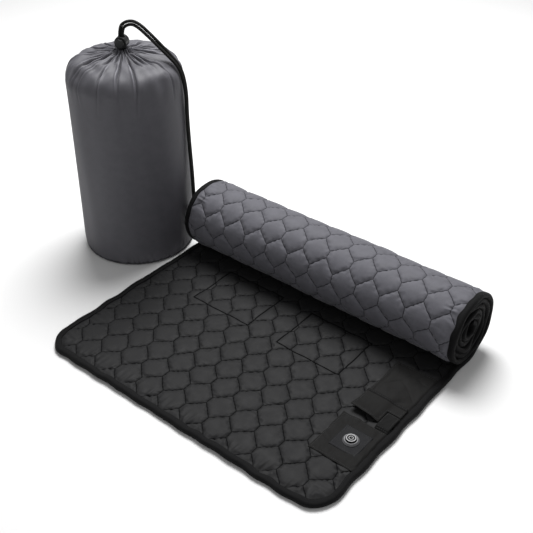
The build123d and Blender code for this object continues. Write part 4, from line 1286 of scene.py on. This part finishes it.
def make_drawcord():
    # One overhand knot holds both strands, and their cut ends stick out below it.
    turns = np.linspace(0, TURN * 2.15, 60)
    coil = []
    for a in turns:
        out = KNOT_OUT + KNOT_RADIUS * math.cos(a) * (1 + 0.04 * math.sin(3 * a))
        height = KNOT_TOP_Z - 9.2 * a / turns[-1] - 0.6 * math.sin(2 * a)
        coil.append(drape(out, KNOT_RADIUS * math.sin(a), height))
    knot, _ = cord_piece("drawcord_knot", np.array(coil), step=0.8)
    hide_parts("end_knot")
    tails = []
    for side, sign, low in (("right", -1, 57.6), ("left", 1, 59.4)):
        route = [(KNOT_OUT, 3.2, 87.0), (KNOT_OUT, 3.0, 76.0), (119.6, 3.4, 68.0), (119.8, 4.0, low)]
        points = spline("end_line", [drape(out, across * sign, z) for out, across, z in route])
        tails.append(cord_piece("drawcord_end_" + side, points)[0])
    for name, route, held in (
        ("drawcord_outer", OUTER_STRAND, [knot, *tails]),
        ("drawcord_inner", INNER_STRAND, []),
    ):
        obj, line = cord_piece(name + "_cord", spline(name + "_line", [drape(*p) for p in route]))
        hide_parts(name)


make_drawcord()


def make_lock_spring():
    """The coil behind the plunger."""
    lock_z = HEM_Z + HEM_RADIUS + 0.4 + LOCK_RADIUS
    axis = np.array([math.sin(DRAPE_ANGLE), -math.cos(DRAPE_ANGLE), 0.0])
    side = np.array([math.cos(DRAPE_ANGLE), math.sin(DRAPE_ANGLE), 0.0])
    centre = np.array([BAG_X, BAG_Y, lock_z])
    turn = np.linspace(0, TURN * SPRING_TURNS, 90)[:, None]
    along = SPRING_SEAT + SPRING_WIRE + 0.1 + SPRING_LENGTH * turn / turn[-1]
    across = side * np.cos(turn) + np.array([0, 0, 1.0]) * np.sin(turn)
    coil = centre + axis * along + SPRING_RADIUS * across
    verts, faces, _, _ = braided_tube(coil, SPRING_WIRE, step=0.7, sides=8, relief=0.0)
    spring = make_object("lock_spring_coil", verts, faces, steel, "cord_lock")
    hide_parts("lock_spring")
    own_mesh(spring)


make_lock_spring()


# ---- parts that keep their shape
def finish_cad_parts():
    black = moulded("satin_black", grey(0.0025), 0.5, 2600.0, 0.1, Specular_IOR_Level=0.08)
    copper = moulded("copper", (0.72, 0.36, 0.2), 0.35, 900.0, 0.1, 0.3, Metallic=1.0)
    milky = moulded("light_ring", (0.3, 0.3, 0.305), 0.5, 3000.0, 0.03, 0.1, Specular_IOR_Level=0.2)
    sign = moulded("power_sign", (0.36, 0.36, 0.365), 0.6, 3000.0, 0.03, 0.1, Specular_IOR_Level=0.2)
    silver = moulded("silver_ring", (0.085, 0.085, 0.089), 0.5, 3000.0, 0.08, 0.3, Metallic=0.2)
    for material, names in (
        (silver, "button_base"),
        (black, "button_back_ring button_cap thermal_cutout"),
        (milky, "light_ring status_leds"),
        (sign, "power_sign"),
        (moulded("lock_black", (0.006, 0.006, 0.0062), 0.33, 1800.0, 0.16), "lock_body lock_plunger"),
        (moulded("solder_mask", (0.02, 0.12, 0.05), 0.35, 1400.0, 0.1), "circuit_board"),
        (copper, "board_pins heater_leads"),
        (steel, "switch_dome"),
        (moulded("carbon_film", (0.02, 0.02, 0.021), 0.5, 700.0, 0.3), "heating_pads"),
        (moulded("grommet_rubber", grey(0.014), 0.7, 1500.0, 0.3), "lead_grommet"),
    ):
        for name in names.split():
            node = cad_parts[name]
            if not node.data.materials:
                node.data.materials.append(material)
            for slot in node.material_slots:
                slot.link = "OBJECT"
                slot.material = material


finish_cad_parts()


# ---- camera, light, floor
def aim(obj, place_at, back):
    """Puts a camera or a light in place, facing away from the direction back."""
    obj.location = place_at
    obj.rotation_euler = back.to_track_quat("Z", "Y").to_euler()


def make_camera():
    camera = add_object("camera", bpy.data.cameras.new("camera"))
    azimuth, elevation = math.radians(CAMERA_AZIMUTH), math.radians(CAMERA_ELEVATION)
    level = math.cos(elevation)
    back = Vector((math.sin(azimuth) * level, -math.cos(azimuth) * level, math.sin(elevation)))
    aim(camera, Vector(CAMERA_PLACE) + back * CAMERA_BACK_OFF, back)
    camera.data.lens, camera.data.sensor_width, camera.data.clip_end = CAMERA_LENS, 36.0, 50.0
    bpy.context.scene.camera = camera


def area_light(name, place_at, target, size, power):
    light = bpy.data.lights.new(name, "AREA")
    light.shape, light.size, light.energy = "DISK", size, power
    aim(add_object(name, light), place_at, Vector(place_at) - Vector(target))


def make_studio():
    side, low = FLOOR_HALF_SIDE, -FLOOR_DROP
    paint = moulded("floor_paint", grey(0.74), 0.6, 300.0, 0.02, 0.0)
    corners = [(-side, -side, low), (side, -side, low), (side, side, low), (-side, side, low)]
    make_object("floor", corners, [(0, 1, 2, 3)], paint, None)
    world = bpy.data.worlds.new("studio")
    bpy.context.scene.world = world
    world.use_nodes = True
    background = world.node_tree.nodes["Background"]
    background.inputs["Color"].default_value = (1.0, 1.0, 1.0, 1.0)
    background.inputs["Strength"].default_value = WORLD_STRENGTH
    area_light("key", (-0.7, 1.0, 2.3), (-0.1, 0.0, 0.0), 1.5, KEY_WATTS)
    area_light("front", (1.3, -1.6, 1.5), (0.0, 0.1, 0.1), 1.6, FRONT_WATTS)
    bpy.context.scene.view_settings.view_transform = "Standard"


make_camera()
make_studio()
